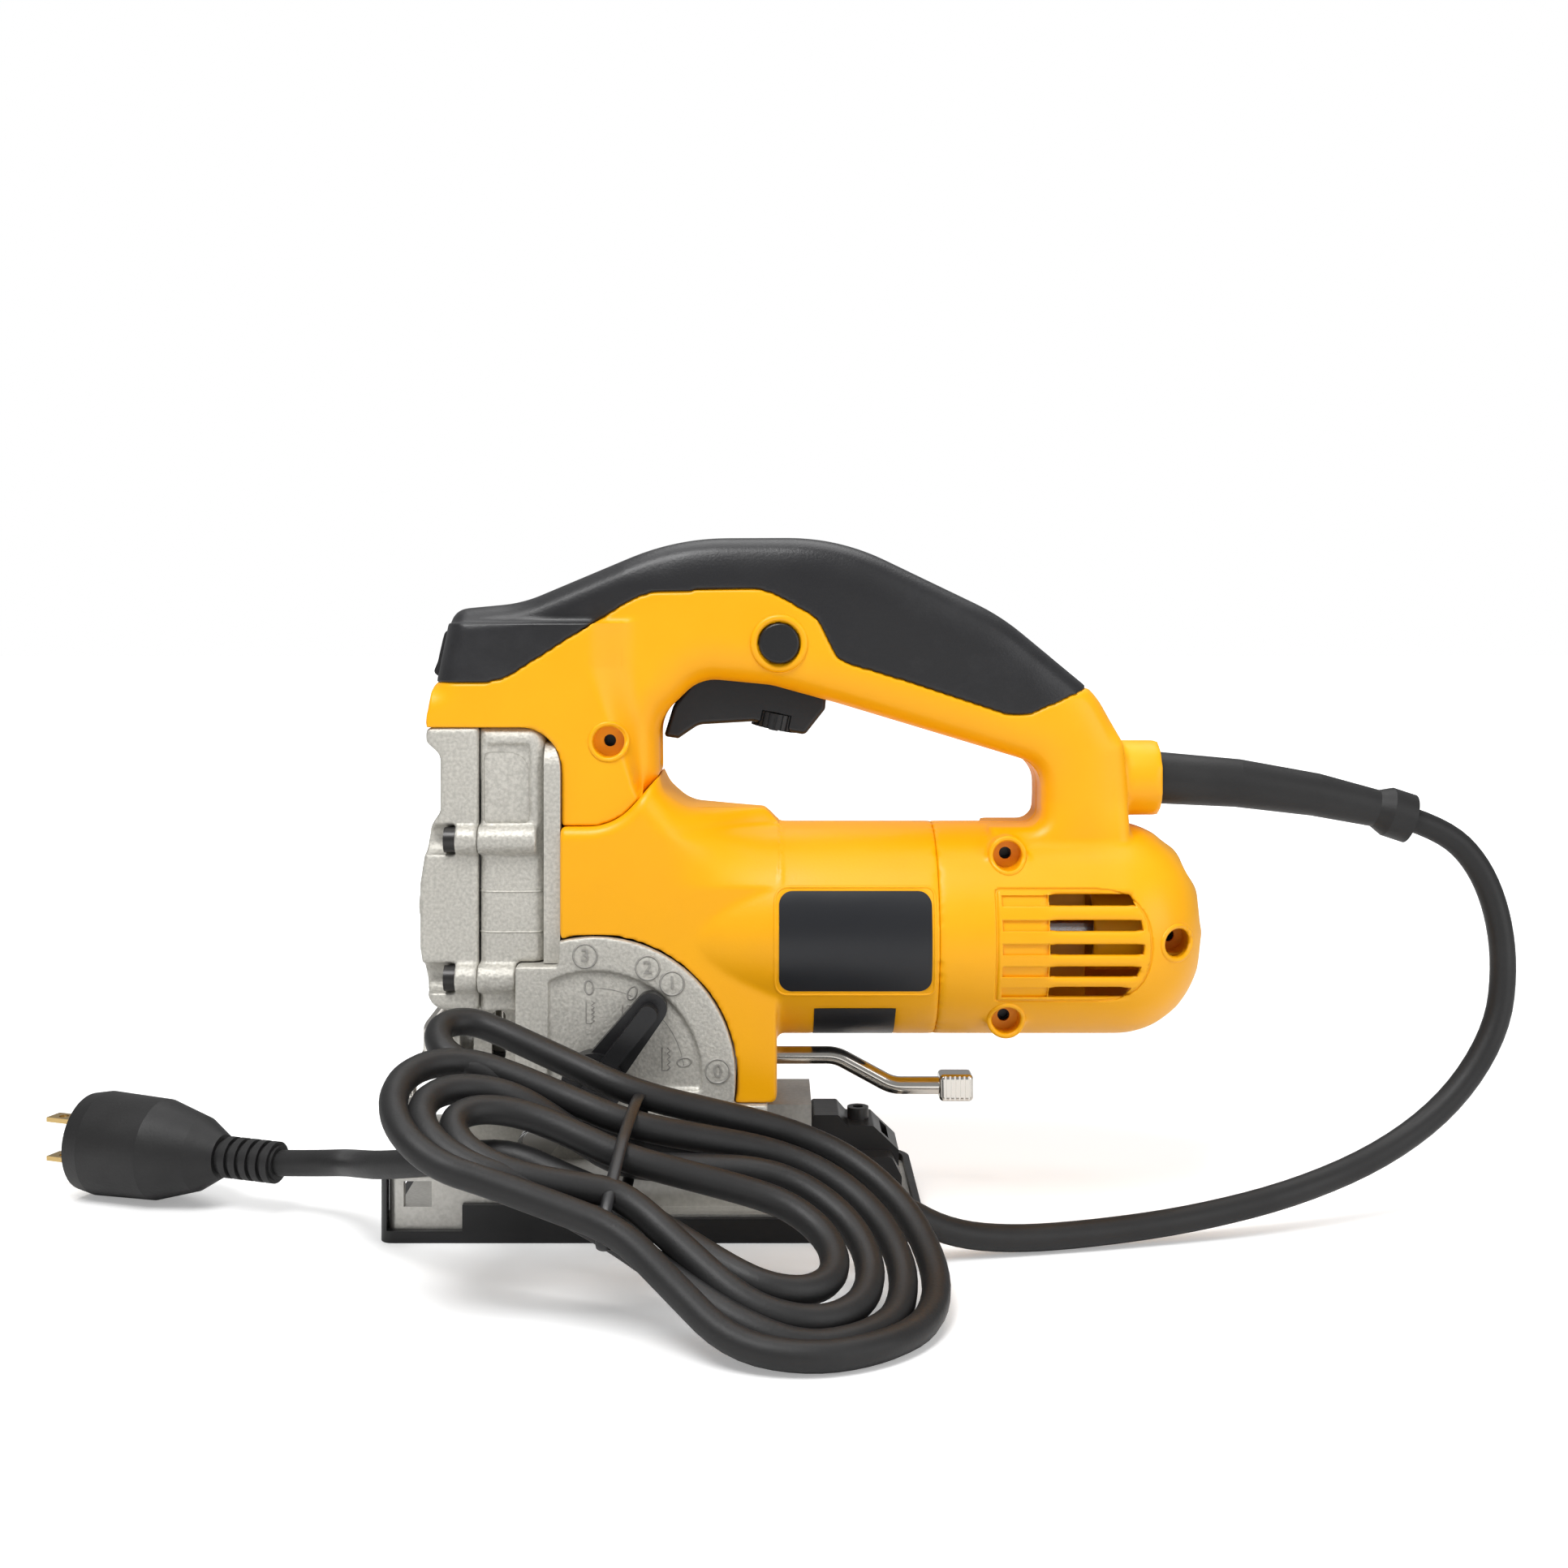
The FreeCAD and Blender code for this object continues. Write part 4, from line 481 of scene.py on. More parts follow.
# --- studio ---
@dataclass
class Studio:
    """Camera, pale floor and soft light."""

    eye: Point = (0.0345, -0.615, 0.193)
    lens: float = 44.12
    shift: tuple[float, float] = (0.0109, -0.117)
    floor_half: float = 6.0
    glow_from: tuple[float, float] = (0.3, 1.3)
    glow_power: tuple[float, float] = (0.30, 1.0)
    world_power: tuple[float, float] = (0.33, 1.0)
    aim: Point = (0.03, 0, 0.1)
    lamps: tuple[tuple[str, Point, float, float], ...] = (
        ("key", (-0.30, -0.70, 1.25), 0.6, 16.0), ("fill", (1.1, -0.9, 0.5), 0.9, 6.0),
        ("top", (0.1, 0.35, 1.3), 1.0, 9.0))

    def camera(self) -> None:
        """Camera level with the handle, looking along +Y."""
        data = bpy.data.cameras.new("camera")
        data.lens = self.lens
        data.sensor_width = 36.0
        data.shift_x, data.shift_y = self.shift
        data.clip_start = 0.02
        camera = linked("camera", data)
        camera.location = self.eye
        camera.rotation_euler = (math.pi / 2, 0, 0)
        bpy.context.scene.camera = camera

    def floor(self) -> None:
        """Pale floor that shows nearly white to the camera and keeps the shadow."""
        bm = bmesh.new()
        bmesh.ops.create_grid(bm, x_segments=1, y_segments=1, size=self.floor_half / MM)
        floor = from_bmesh("floor", bm, smooth=False)
        material = bpy.data.materials.new("pale_floor")
        material.use_nodes = True
        nodes, links = material.node_tree.nodes, material.node_tree.links
        shader = nodes["Principled BSDF"]
        preset(shader, {"Base Color": (0.86, 0.86, 0.86, 1), "Roughness": 0.8, "Specular IOR Level": 0.1})
        glow = added(nodes, "Emission", {"Color": (1, 1, 1, 1)})
        path = added(nodes, "LightPath")
        place = added(nodes, "TexCoord")
        reach = added(nodes, "VectorMath", operation="LENGTH")
        wired(links, (place, "Object", reach, 0))
        ramp = added(nodes, "MapRange", {"From Min": self.glow_from[0], "From Max": self.glow_from[1],
                                         "To Min": self.glow_power[0], "To Max": self.glow_power[1]},
                     interpolation_type="SMOOTHSTEP")
        wired(links, (reach, "Value", ramp, "Value"))
        share = added(nodes, "Math", operation="MULTIPLY")
        wired(links, (ramp, "Result", share, 1), (path, "Is Camera Ray", share, 0),
              (share, 0, glow, "Strength"))
        both = added(nodes, "AddShader")
        wired(links, (shader, 0, both, 0), (glow, 0, both, 1),
              (both, 0, nodes["Material Output"], "Surface"))
        floor.data.materials.append(material)

    def world(self) -> None:
        """Even pale surroundings: white to the camera, dimmer as a source of light."""
        world = bpy.data.worlds.new("surroundings")
        bpy.context.scene.world = world
        world.use_nodes = True
        nodes, links = world.node_tree.nodes, world.node_tree.links
        back = nodes["Background"]
        preset(back, {"Color": (1, 1, 1, 1)})
        path = added(nodes, "LightPath")
        strength = added(nodes, "MapRange", {"To Min": self.world_power[0], "To Max": self.world_power[1]})
        wired(links, (path, "Is Camera Ray", strength, "Value"), (strength, "Result", back, "Strength"))

    def lamp(self, name: str, place: Point, size: float, power: float) -> None:
        """One soft square lamp that faces the tool.

        Args:
            name: name of the lamp.
            place: where it stands.
            size: side of its square.
            power: its power in watts.
        """
        data = bpy.data.lights.new(name, "AREA")
        data.size = size
        data.energy = power
        lamp = linked(name, data)
        lamp.location = place
        lamp.rotation_euler = (Vector(self.aim) - Vector(place)).to_track_quat("-Z", "Y").to_euler()

    def build(self) -> None:
        """Sets up the whole studio."""
        bpy.context.scene.view_settings.view_transform = "Standard"
        self.camera()
        self.floor()
        self.world()
        for lamp in self.lamps:
            self.lamp(*lamp)


# --- cord and hank ---
@dataclass(frozen=True)
class Loop:
    """One end loop of the hank, seen in plan, in millimetres."""

    centre: tuple[float, float]
    reach: tuple[float, float]
    lean: float
    slots: tuple[int, int]
    lift: float


@dataclass
class Lead:
    """The mains lead: free run, hank of four turns, and run to the plug."""

    diameter: float = 0.008
    length: float = 1.82
    free_run: tuple[Point, ...] = (
        (240, 0, 123.2), (251.5, 0, 119.4), (261.5, -0.5, 109.5), (267.5, -1.5, 95), (269.5, -3, 77),
        (266, -6, 57), (251, -10, 36), (227, -17.5, 21), (196, -27, 11.5), (162, -36, 6.4),
        (131, -43, 4.5), (106, -48, 4.4), (87, -52.8, 8), (72, -59, 18))
    plug_run: tuple[Point, ...] = (
        (-38, -84, 41), (-58, -77, 36), (-76, -64, 31), (-87.2, -45, 26), (-94.3, -28.6, 21.5),
        (-106, -17.4, 18), (-118, -13, 16.8))
    slope: tuple[float, float] = (-0.298, 0.433)
    level: float = 67.0
    level_at: tuple[float, float] = (-57.0, -52.0)
    tie_x: float = -5.0
    first_slot: float = -61.0
    slot_step: float = -6.5
    layer: float = 4.2
    floor_gap: float = 0.3
    half_sweep: float = 104.0
    right: tuple[Loop, ...] = (
        Loop((42, -95), (39.5, 43), -10, (0, 8), 0.0), Loop((39, -97), (33, 33.5), -8, (2, 7), 1.0),
        Loop((36, -98.5), (26.5, 25), -6, (3, 6), 2.0), Loop((33, -100), (19.5, 16), -4, (4, 5), 3.0))
    left: tuple[Loop, ...] = (
        Loop((-50, -59), (11.5, 9.5), 0, (1, 0), 3.0), Loop((-46, -88), (23, 21.5), 0, (8, 2), 3.5),
        Loop((-40, -91), (21, 15.5), 0, (7, 3), 3.8), Loop((-33, -93), (19, 11.5), 0, (6, 4), 4.0))

    def at(self, x: float, y: float, lift: float) -> Vector:
        """Point on the hank's sloping plane, never below the floor.

        Args:
            x: place along the tool.
            y: place across it.
            lift: distance from the plane.

        Returns:
            The point.
        """
        z = self.level + self.slope[0] * (x - self.level_at[0]) + self.slope[1] * (y - self.level_at[1])
        place = Vector((x, y, z)) + Vector((-self.slope[0], -self.slope[1], 1)).normalized() * lift
        place.z = max(place.z, self.diameter / 2 / MM + self.floor_gap)
        return place

    def slot_point(self, slot: int) -> Vector:
        """Where a strand passes the tie; neighbours lie in two layers."""
        layer = -self.layer if slot % 2 else self.layer
        return self.at(self.tie_x, self.first_slot + slot * self.slot_step, layer)

    def loop_points(self, loop: Loop, side: int) -> list[Vector]:
        """Control points of one end loop between its two places in the tie.

        Args:
            loop: the loop's size and place.
            side: 1 for the right end, -1 for the left.

        Returns:
            The points after the tie, round the end, up to the tie again.
        """
        start, end = (self.slot_point(slot) for slot in loop.slots)
        turn = 1 if start.y > end.y else -1
        lean = math.radians(loop.lean)
        points = []
        for step in range(8):
            angle = math.radians(self.half_sweep - 2 * self.half_sweep * step / 7)
            across = side * loop.reach[0] * math.cos(angle)
            along = turn * loop.reach[1] * math.sin(angle)
            x = loop.centre[0] + across * math.cos(lean) - along * math.sin(lean)
            y = loop.centre[1] + across * math.sin(lean) + along * math.cos(lean)
            points.append(self.at(x, y, loop.lift))
        return [start.lerp(points[0], 0.5), *points, points[-1].lerp(end, 0.5)]

    def hank_points(self) -> list[Vector]:
        """Control points of the four turns, from the free run to the run to the plug."""
        points = [self.at(48, -60.5, -6.5), self.at(22, -64, -5.5), self.slot_point(1)]
        for left, right in zip(self.left, self.right):
            points += self.loop_points(left, -1)
            points.append(self.slot_point(left.slots[1]))
            points += self.loop_points(right, 1)
            points.append(self.slot_point(right.slots[1]))
        return points + [self.at(-22, -90, -5.0)]

    def build(self, workshop: Workshop) -> bpy.types.Object:
        """Args:
            workshop: source of materials.

        Returns:
            The cord.
        """
        points = [Vector(p) for p in self.free_run] + self.hank_points() + [Vector(p) for p in self.plug_run]
        curve = bpy.data.curves.new("cord", "CURVE")
        curve.dimensions = "3D"
        curve.bevel_depth = self.diameter / 2
        curve.bevel_resolution = 5
        curve.resolution_u = 5
        curve.use_fill_caps = True
        spline = curve.splines.new("NURBS")
        spline.points.add(len(points) - 1)
        for knot, place in zip(spline.points, points):
            knot.co = (*(place * MM), 1)
        spline.order_u = 3
        spline.use_endpoint_u = True
        cord = linked("cord", curve)
        workshop.dress(cord, "cord_rubber")
        mounted(cord, "cord_rubber", "cord_lead", "cord_tail", "cord_hank")
        return cord


@dataclass
class Tie:
    """Thin glossy strap round the middle of the hank."""

    x: float = -5.0
    y: tuple[float, float] = (-56.0, -116.0)
    half_thick: float = 9.3
    section: tuple[float, float] = (1.7, 0.75)
    lean: float = -7.0

    def build(self, workshop: Workshop, lead: Lead) -> bpy.types.Object:
        """Spins a flat section into a ring and stretches it round the strands.

        Args:
            workshop: source of materials.
            lead: the cord, which gives the hank's slope.

        Returns:
            The strap.
        """
        bm = bmesh.new()
        ring = bmesh.ops.create_circle(bm, segments=16, radius=1.0)["verts"]
        bmesh.ops.rotate(bm, verts=ring, matrix=Matrix.Rotation(math.pi / 2, 3, "X"))
        bmesh.ops.scale(bm, verts=ring, vec=(self.section[0], 1, self.section[1]))
        bmesh.ops.translate(bm, verts=ring, vec=(0, 0, self.half_thick))
        bmesh.ops.spin(bm, geom=bm.edges[:], axis=(1, 0, 0), cent=(0, 0, 0), angle=2 * math.pi, steps=72,
                       use_merge=True)
        grow = (self.y[0] - self.y[1]) / 2 - self.half_thick
        for vert in bm.verts:
            reach = math.hypot(vert.co.y, vert.co.z)
            vert.co.y += grow * vert.co.y / reach * min(1.0, 1.35 * abs(vert.co.y) / reach + 0.15)
        middle = lead.at(self.x, sum(self.y) / 2, 0)
        bmesh.ops.rotate(bm, verts=bm.verts, matrix=Matrix.Rotation(math.radians(self.lean), 3, "Z"))
        bmesh.ops.rotate(bm, verts=bm.verts, matrix=Matrix.Rotation(math.atan(lead.slope[1]), 3, "X"))
        bmesh.ops.translate(bm, verts=bm.verts, vec=middle)
        strap = from_bmesh("hank_strap", bm)
        workshop.dress(strap, "black_plastic")
        return mounted(strap, "cord_rubber", "hank_tie")


# --- details that follow a surface ---
@dataclass
class Side:
    """Outer skin of some pieces seen from one side; sign is -1 for the lever's side."""

    pieces: Sequence[bpy.types.Object]
    sign: int = -1

    def __post_init__(self) -> None:
        """Gathers the pieces' faces."""
        bm = bmesh.new()
        for piece in self.pieces:
            bm.from_mesh(piece.data)
        self.tree = BVHTree.FromBMesh(bm)
        bm.free()

    def y(self, x: float, z: float, spare: float) -> float:
        """Depth of the skin at (x, z), or the spare value where there is none."""
        start = Vector((x * MM, self.sign * 0.2, z * MM))
        hit = self.tree.ray_cast(start, Vector((0, -self.sign, 0)))[0]
        return hit.y / MM if hit else spare

    def beads(self, name: str, lines: Sequence[np.ndarray], radius: float, sink: float = 0.0,
              step: float = 0.8) -> bpy.types.Object:
        """Round beads lying on the skin along lines in side view.

        Args:
            name: name of the piece.
            lines: rows (x, z) of each line; a line that ends where it starts is closed.
            radius: radius of the bead.
            sink: how far its middle lies under the skin.
            step: longest distance between its points.

        Returns:
            The beads as one mesh piece.
        """
        curve = bpy.data.curves.new(name, "CURVE")
        curve.dimensions = "3D"
        curve.bevel_depth = radius * MM
        curve.bevel_resolution = 2
        curve.use_fill_caps = True
        for line in lines:
            line = np.asarray(line, float)[:, :2]
            closed = bool(np.allclose(line[0], line[-1]))
            path = []
            for start, end in zip(line, line[1:]):
                count = max(1, math.ceil(float(np.linalg.norm(end - start)) / step))
                path += [start + (end - start) * share / count for share in range(count)]
            if not closed:
                path.append(line[-1])
            path = [point for point, before in zip(path, [path[0] + 1, *path])
                    if np.linalg.norm(point - before) > 0.02]
            spline = curve.splines.new("POLY")
            spline.points.add(len(path) - 1)
            spline.use_cyclic_u = closed
            y = self.sign * 25.0
            for knot, (x, z) in zip(spline.points, path):
                y = self.y(x, z, y)
                knot.co = (x * MM, (y - self.sign * sink) * MM, z * MM, 1)
        return meshed(linked(name, curve))

    def pocket(self, name: str, x: tuple[float, float], z: tuple[float, float],
               depth: float) -> bpy.types.Object:
        """Cutter of a shallow rectangular pocket whose floor follows the skin.

        Args:
            name: name of the cutter.
            x: its ends.
            z: its lower and upper edge.
            depth: how deep it goes.

        Returns:
            The cutter.
        """
        bm = bmesh.new()
        grid = bmesh.ops.create_grid(bm, x_segments=6, y_segments=3, size=0.5)["verts"]
        for vert in grid:
            place_x = x[0] + (vert.co.x + 0.5) * (x[1] - x[0])
            place_z = z[0] + (vert.co.y + 0.5) * (z[1] - z[0])
            vert.co = (place_x, self.y(place_x, place_z, self.sign * 25) - self.sign * depth, place_z)
        pushed(bm, bm.faces[:], (0, self.sign * (depth + 2), 0))
        return from_bmesh(name, bm, smooth=False)


def softened(node: str, voxel: float, passes: int, slot: str, workshop: Workshop) -> bpy.types.Object:
    """Rebuilds a copy of a solid with the soft edges of a moulding or casting.

    Args:
        node: the solid.
        voxel: mesh size in millimetres.
        passes: rounds of smoothing.
        slot: its material slot.
        workshop: source of materials.

    Returns:
        The soft copy, not mounted yet.
    """
    mesh = frame["nodes"][node].data.copy()
    bm = bmesh.new()
    bm.from_mesh(mesh)
    bmesh.ops.remove_doubles(bm, verts=bm.verts, dist=1e-6)
    bm.to_mesh(mesh)
    bm.free()
    piece = linked(node + "_moulding", mesh)
    remesh = piece.modifiers.new("even", "REMESH")
    remesh.mode = "VOXEL"
    remesh.voxel_size = voxel * MM
    remesh.use_smooth_shade = True
    ease = piece.modifiers.new("ease", "SMOOTH")
    ease.factor = 0.5
    ease.iterations = passes
    return workshop.dress(applied(piece), slot)


def points_of(mesh: bpy.types.Mesh) -> np.ndarray:
    """Vertices of a mesh in millimetres, one row each."""
    co = np.zeros(len(mesh.vertices) * 3)
    mesh.vertices.foreach_get("co", co)
    return co.reshape(-1, 3) / MM


def put_points(mesh: bpy.types.Mesh, rows: np.ndarray) -> None:
    """Writes vertices in millimetres back to a mesh."""
    mesh.vertices.foreach_set("co", (rows * MM).ravel())
    mesh.update()


def linear(value: np.ndarray, low: float, high: float) -> np.ndarray:
    """Straight ramp from 0 at low to 1 at high, where high may lie below low."""
    return np.clip((value - low) / (high - low), 0, 1)


def eased(value: np.ndarray, low: float | np.ndarray, high: float) -> np.ndarray:
    """Smooth step from 0 at low to 1 at high."""
    share = linear(value, low, high)
    return share * share * (3 - 2 * share)


def cushion(inset: np.ndarray, depth: float | np.ndarray, power: float) -> np.ndarray:
    """Rounded rise from 0 at an edge to 1 at some depth inside it.

    Args:
        inset: distances from the edge.
        depth: distance at which the rise ends.
        power: 2 for a quarter of an ellipse, more for a squarer one.

    Returns:
        The share reached at each distance.
    """
    return (1 - (1 - np.clip(inset / depth, 0, 1)) ** power) ** (1 / power)


# --- moulded housing ---
@dataclass
class Housing:
    """Shells, soft grip and motor case, with the rounded section of a hand-held moulding."""

    voxel: float = 1.0
    passes: int = 3
    # Oval section of the handle: within core nothing moves; keep is the share left at the outline.
    core: float = 7.6
    depth: float = 15.0
    head_depth_cut: float = 0.42
    keep: float = 0.30
    power: float = 2.3
    # Ridge between head and handle.
    head_half: float = 25.0
    handle_half: float = 18.0
    ridge_front: tuple[float, float] = (-22.0, 172.0)
    ridge_lean: float = 0.42
    ridge_last: float = -6.0
    ridge_end: float = -4.6
    foot_spare: float = 6.0
    # Motor case: flat front, taper, round barrel.
    motor_z: float = 88.9
    barrel_r: float = 33.5
    case_half: float = 29.0
    least_half: float = 6.0
    taper_x: float = 2.0
    barrel_x: float = 38.4
    blend_from_z: float = 98.0
    crown_keep: float = 0.42
    crown_depth: float = 11.0
    crown_power: float = 2.2
    # Domed rear end.
    dome_x: float = 144.4
    dome_flat: float = 6.5
    scallops: float = 14.0
    scallop_depth: float = 0.95
    # Vents, their blind ends and the wall behind them.
    vent_x: float = 120.3
    vent_arc: tuple[float, float] = (121.0, 28.0)
    blind_x: tuple[float, float] = (106.0, 120.0)
    blind_depth: float = 0.8
    groove_r: float = 0.42
    baffle_x: float = 125.35
    baffle_long: float = 21.7
    baffle_thick: float = 1.8
    baffle_z: tuple[tuple[float, float], ...] = ((58.5, 84.6), (93.2, 119.5))
    vent_z: tuple[float, ...] = (101.7, 94.4, 87.2, 80.3, 73.6)
    vent_half: float = 1.6
    screws: tuple[tuple[float, float, float], ...] = (
        (-14.2, 149.6, 4.7), (108.6, 114.5, 4.3), (108.1, 64.1, 4.3), (159.8, 88.4, 4.3))
    screw_face: tuple[float, ...] = (25.0, 23.5, 23.5, 21.0)
    well_depth: float = 11.9
    ledge_depth: float = 6.5
    ledge_thick: float = 1.2
    ledge_hole: float = 1.9
    button: tuple[float, float] = (38.3, 179.7)
    top: tuple[Point, ...] = (
        (-68.6, 167.6, 0), (-64.0, 190.2, 6), (-42.5, 192.2, 40), (6, 212.6, 80), (57, 212.8, 70),
        (108, 188.3, 70), (138, 163.5, 25), (146.4, 148, 3), (148.2, 118.5, 0))
    gap: tuple[Point, ...] = (
        (104, 122.2, 0), (120.6, 122.2, 4.5), (120.6, 141.4, 9), (57, 160.6, 8), (36, 166.4, 14),
        (13.5, 168.6, 12), (0.7, 156, 12), (0.9, 138.4, 0))
    vent_panel: tuple[Point, ...] = (
        (104.3, 70.6, 1.2), (104.3, 105, 1.2), (151.3, 105, 17), (151.3, 70.6, 17))
    label: tuple[Point, ...] = ((36.9, 72.9, 4.5), (36.9, 105.6, 4.5), (85.6, 105.6, 3), (85.6, 72.9, 3))
    case_top: tuple[Point, ...] = ((-6.0, 147.0, 0), (0.9, 138.4, 3), (9.0, 128.2, 10), (37, 127.0, 0))
    slots: dict[str, str] = field(default_factory=lambda: {
        "left_shell": "yellow_plastic", "right_shell": "yellow_plastic", "left_grip": "soft_grip",
        "right_grip": "soft_grip", "field_case": "yellow_plastic"})
    outline: np.ndarray = field(default_factory=lambda: np.zeros((0, 4)))
    case_lines: np.ndarray = field(default_factory=lambda: np.zeros((0, 4)))

    @staticmethod
    def segments(corners: Sequence[Point]) -> np.ndarray:
        """Short lines (x, z, x, z) along a rounded line through corners."""
        line = rounded(corners)
        return np.hstack([line[:-1], line[1:]])

    @staticmethod
    def distance(lines: np.ndarray, x: np.ndarray, z: np.ndarray) -> np.ndarray:
        """Distance of each point (x, z) from the nearest of some short lines.

        Args:
            lines: the ends (x, z, x, z) of each line.
            x: first coordinates of the points.
            z: second coordinates of the points.

        Returns:
            One distance for each point.
        """
        best = np.full(len(x), 1e9)
        for x0, z0, x1, z1 in lines:
            span = max((x1 - x0) ** 2 + (z1 - z0) ** 2, 1e-9)
            share = np.clip(((x - x0) * (x1 - x0) + (z - z0) * (z1 - z0)) / span, 0, 1)
            best = np.minimum(best, np.hypot(x - x0 - share * (x1 - x0), z - z0 - share * (z1 - z0)))
        return best

    def rounder(self, rows: np.ndarray) -> None:
        """Draws the sides in towards the outline, so that the section is nearly oval."""
        x, y, z = rows.T
        inset = self.distance(self.outline, x, z)
        depth = self.depth * (1 - self.head_depth_cut * linear(x, 2.0, -10.0))
        share = self.keep + (1 - self.keep) * cushion(inset, depth, self.power)
        handle_only = linear(z, 118.0, 130.0) * linear(x, 150.0, 142.0)
        low_front = linear(z, 158.0, 150.0) * linear(x, -20.0, -28.0)
        share = 1 - (1 - share) * handle_only * (1 - low_front)
        outer = np.abs(y) > self.core
        rows[:, 1] = np.where(outer, np.sign(y) * (self.core + (np.abs(y) - self.core) * share), y)

    def head_blend(self, rows: np.ndarray) -> None:
        """Turns the step between the wide head and the handle into a soft sloping ridge."""
        x, y, z = rows.T
        front_x, front_z = self.ridge_front
        ridge = np.minimum(front_x + np.clip(front_z - z, 0, 60) * self.ridge_lean, self.ridge_last)
        fall = eased(x, ridge, self.ridge_end) * linear(z, 128.0, 134.0)
        wide = self.head_half - (self.head_half - self.handle_half) * fall
        wide += self.foot_spare * (1 - linear(z, 130.0, 135.0))
        near = (x < 1.0) & (x > -40)
        rows[:, 1] = np.where(near, np.sign(y) * np.minimum(np.abs(y), wide), y)

    def case_blend(self, rows: np.ndarray) -> None:
        """Lets the flat front of the motor case run smoothly into the round barrel."""
        x, y, z = rows.T
        barrel = np.sqrt(np.clip(self.barrel_r ** 2 - (z - self.motor_z) ** 2, self.least_half ** 2, None))
        mix = eased(x, self.taper_x, self.barrel_x)
        wide = (1 - mix) * self.case_half + mix * barrel
        inset = self.distance(self.case_lines, x, z)
        crown = self.crown_keep + (1 - self.crown_keep) * cushion(inset, self.crown_depth, self.crown_power)
        crown = 1 - (1 - crown) * eased(z, 112.0, 120.0) * (1 - eased(x, 34.0, 40.0))
        front = (x < self.barrel_x) & (z > self.blend_from_z)
        rows[:, 1] = np.where(front, np.sign(y) * np.minimum(np.abs(y), wide) * crown, y)
        top = self.motor_z + self.barrel_r
        rows[:, 2] = np.where(z > top, top + (z - top) * (1 - eased(x, 33.0, 39.6)), z)

    def finger_ridges(self, rows: np.ndarray) -> None:
        """Scallops across the domed rear end."""
        x, y, z = rows.T
        middle = np.clip(z, self.motor_z - self.dome_flat, self.motor_z + self.dome_flat)
        across = x - self.dome_x
        reach = np.hypot(across, z - middle)
        angle = np.arctan2(z - self.motor_z, across)
        wave = 0.5 - 0.5 * np.cos(angle * self.scallops)
        fade = linear(np.abs(angle), 1.15, 0.95) * linear(np.abs(y), 18.0, 12.0)
        cut = self.scallop_depth * wave * fade * linear(reach, 24.8, 26.3) * (x > 146)
        rows[:, 0] -= cut * across / np.maximum(reach, 1)
        rows[:, 2] -= cut * (z - middle) / np.maximum(reach, 1)

    def shell_cuts(self, side: Side) -> list[bpy.types.Object]:
        """Cutters of the vents, their blind ends, the panel groove and the screw wells."""
        cuts = []
        for row, z in enumerate(self.vent_z):
            low, high = z - self.vent_half, z + self.vent_half
            ends = [self.vent_arc[0] + math.sqrt(self.vent_arc[1] ** 2 - (level - self.motor_z) ** 2)
                    for level in (low, z, high)]
            slot = [(self.vent_x, low), (ends[0], low), (ends[1], z), (ends[2], high), (self.vent_x, high)]
            cuts.append(prism(f"vent_cut_{row}", slot, (side.sign * 15.0, side.sign * 40.0)))
            cuts.append(side.pocket(f"vent_blind_{row}", self.blind_x, (low, high), self.blind_depth))
        cuts.append(side.beads("panel_cut", [rounded(self.vent_panel, True)], self.groove_r))
        if side.sign < 0:
            for row, ((x, z, radius), face) in enumerate(zip(self.screws, self.screw_face)):
                ring = circle(x, z, radius + 0.1, radius + 0.1)[:-1]
                cuts.append(prism(f"well_cut_{row}", ring, (-face - 6.0, -face + self.well_depth)))
        return cuts

    def build(self, workshop: Workshop) -> None:
        """Makes both shells, both halves of the grip and the motor case.

        Args:
            workshop: source of materials.
        """
        self.outline = np.vstack([self.segments(self.top), self.segments(self.gap)])
        self.case_lines = self.segments(self.case_top)
        made = {}
        for node, slot in self.slots.items():
            piece = softened(node, self.voxel, self.passes, slot, workshop)
            rows = points_of(piece.data)
            if node == "field_case":
                self.case_blend(rows)
            else:
                self.head_blend(rows)
                self.rounder(rows)
            if node.endswith("shell"):
                self.finger_ridges(rows)
            put_points(piece.data, rows)
            made[node] = piece
        for node, sign in (("left_shell", -1), ("right_shell", 1)):
            carved(made[node], self.shell_cuts(Side([made[node]], sign)))
        for node, piece in made.items():
            mounted(piece, self.slots[node], node)
        self.trim(made, workshop)

    def trim(self, made: dict[str, bpy.types.Object], workshop: Workshop) -> None:
        """Rims, rings, borders, ledges in the screw wells and the wall behind the vents, on the mouldings.

        Args:
            made: the softened mouldings.
            workshop: source of materials.
        """
        near = Side([made["left_shell"], made["left_grip"], made["field_case"]])
        far = Side([made["right_shell"], made["right_grip"], made["field_case"]], 1)
        rims = [circle(x, z, radius + 0.9, radius + 0.9) for x, z, radius in self.screws]
        yellow = [near.beads("screw_rims", rims, 0.85, 0.25),
                  near.beads("button_ring", [circle(*self.button, 7.9, 7.9)], 1.35, 0.45),
                  near.beads("label_border", [rounded(self.label, True)], 0.45, 0.15),
                  far.beads("label_border_far", [rounded(self.label, True)], 0.45, 0.15)]
        yellow += [self.well_steps(), self.air_baffle()]
        for piece in yellow:
            mounted(workshop.dress(piece, "yellow_plastic"), "yellow_plastic")

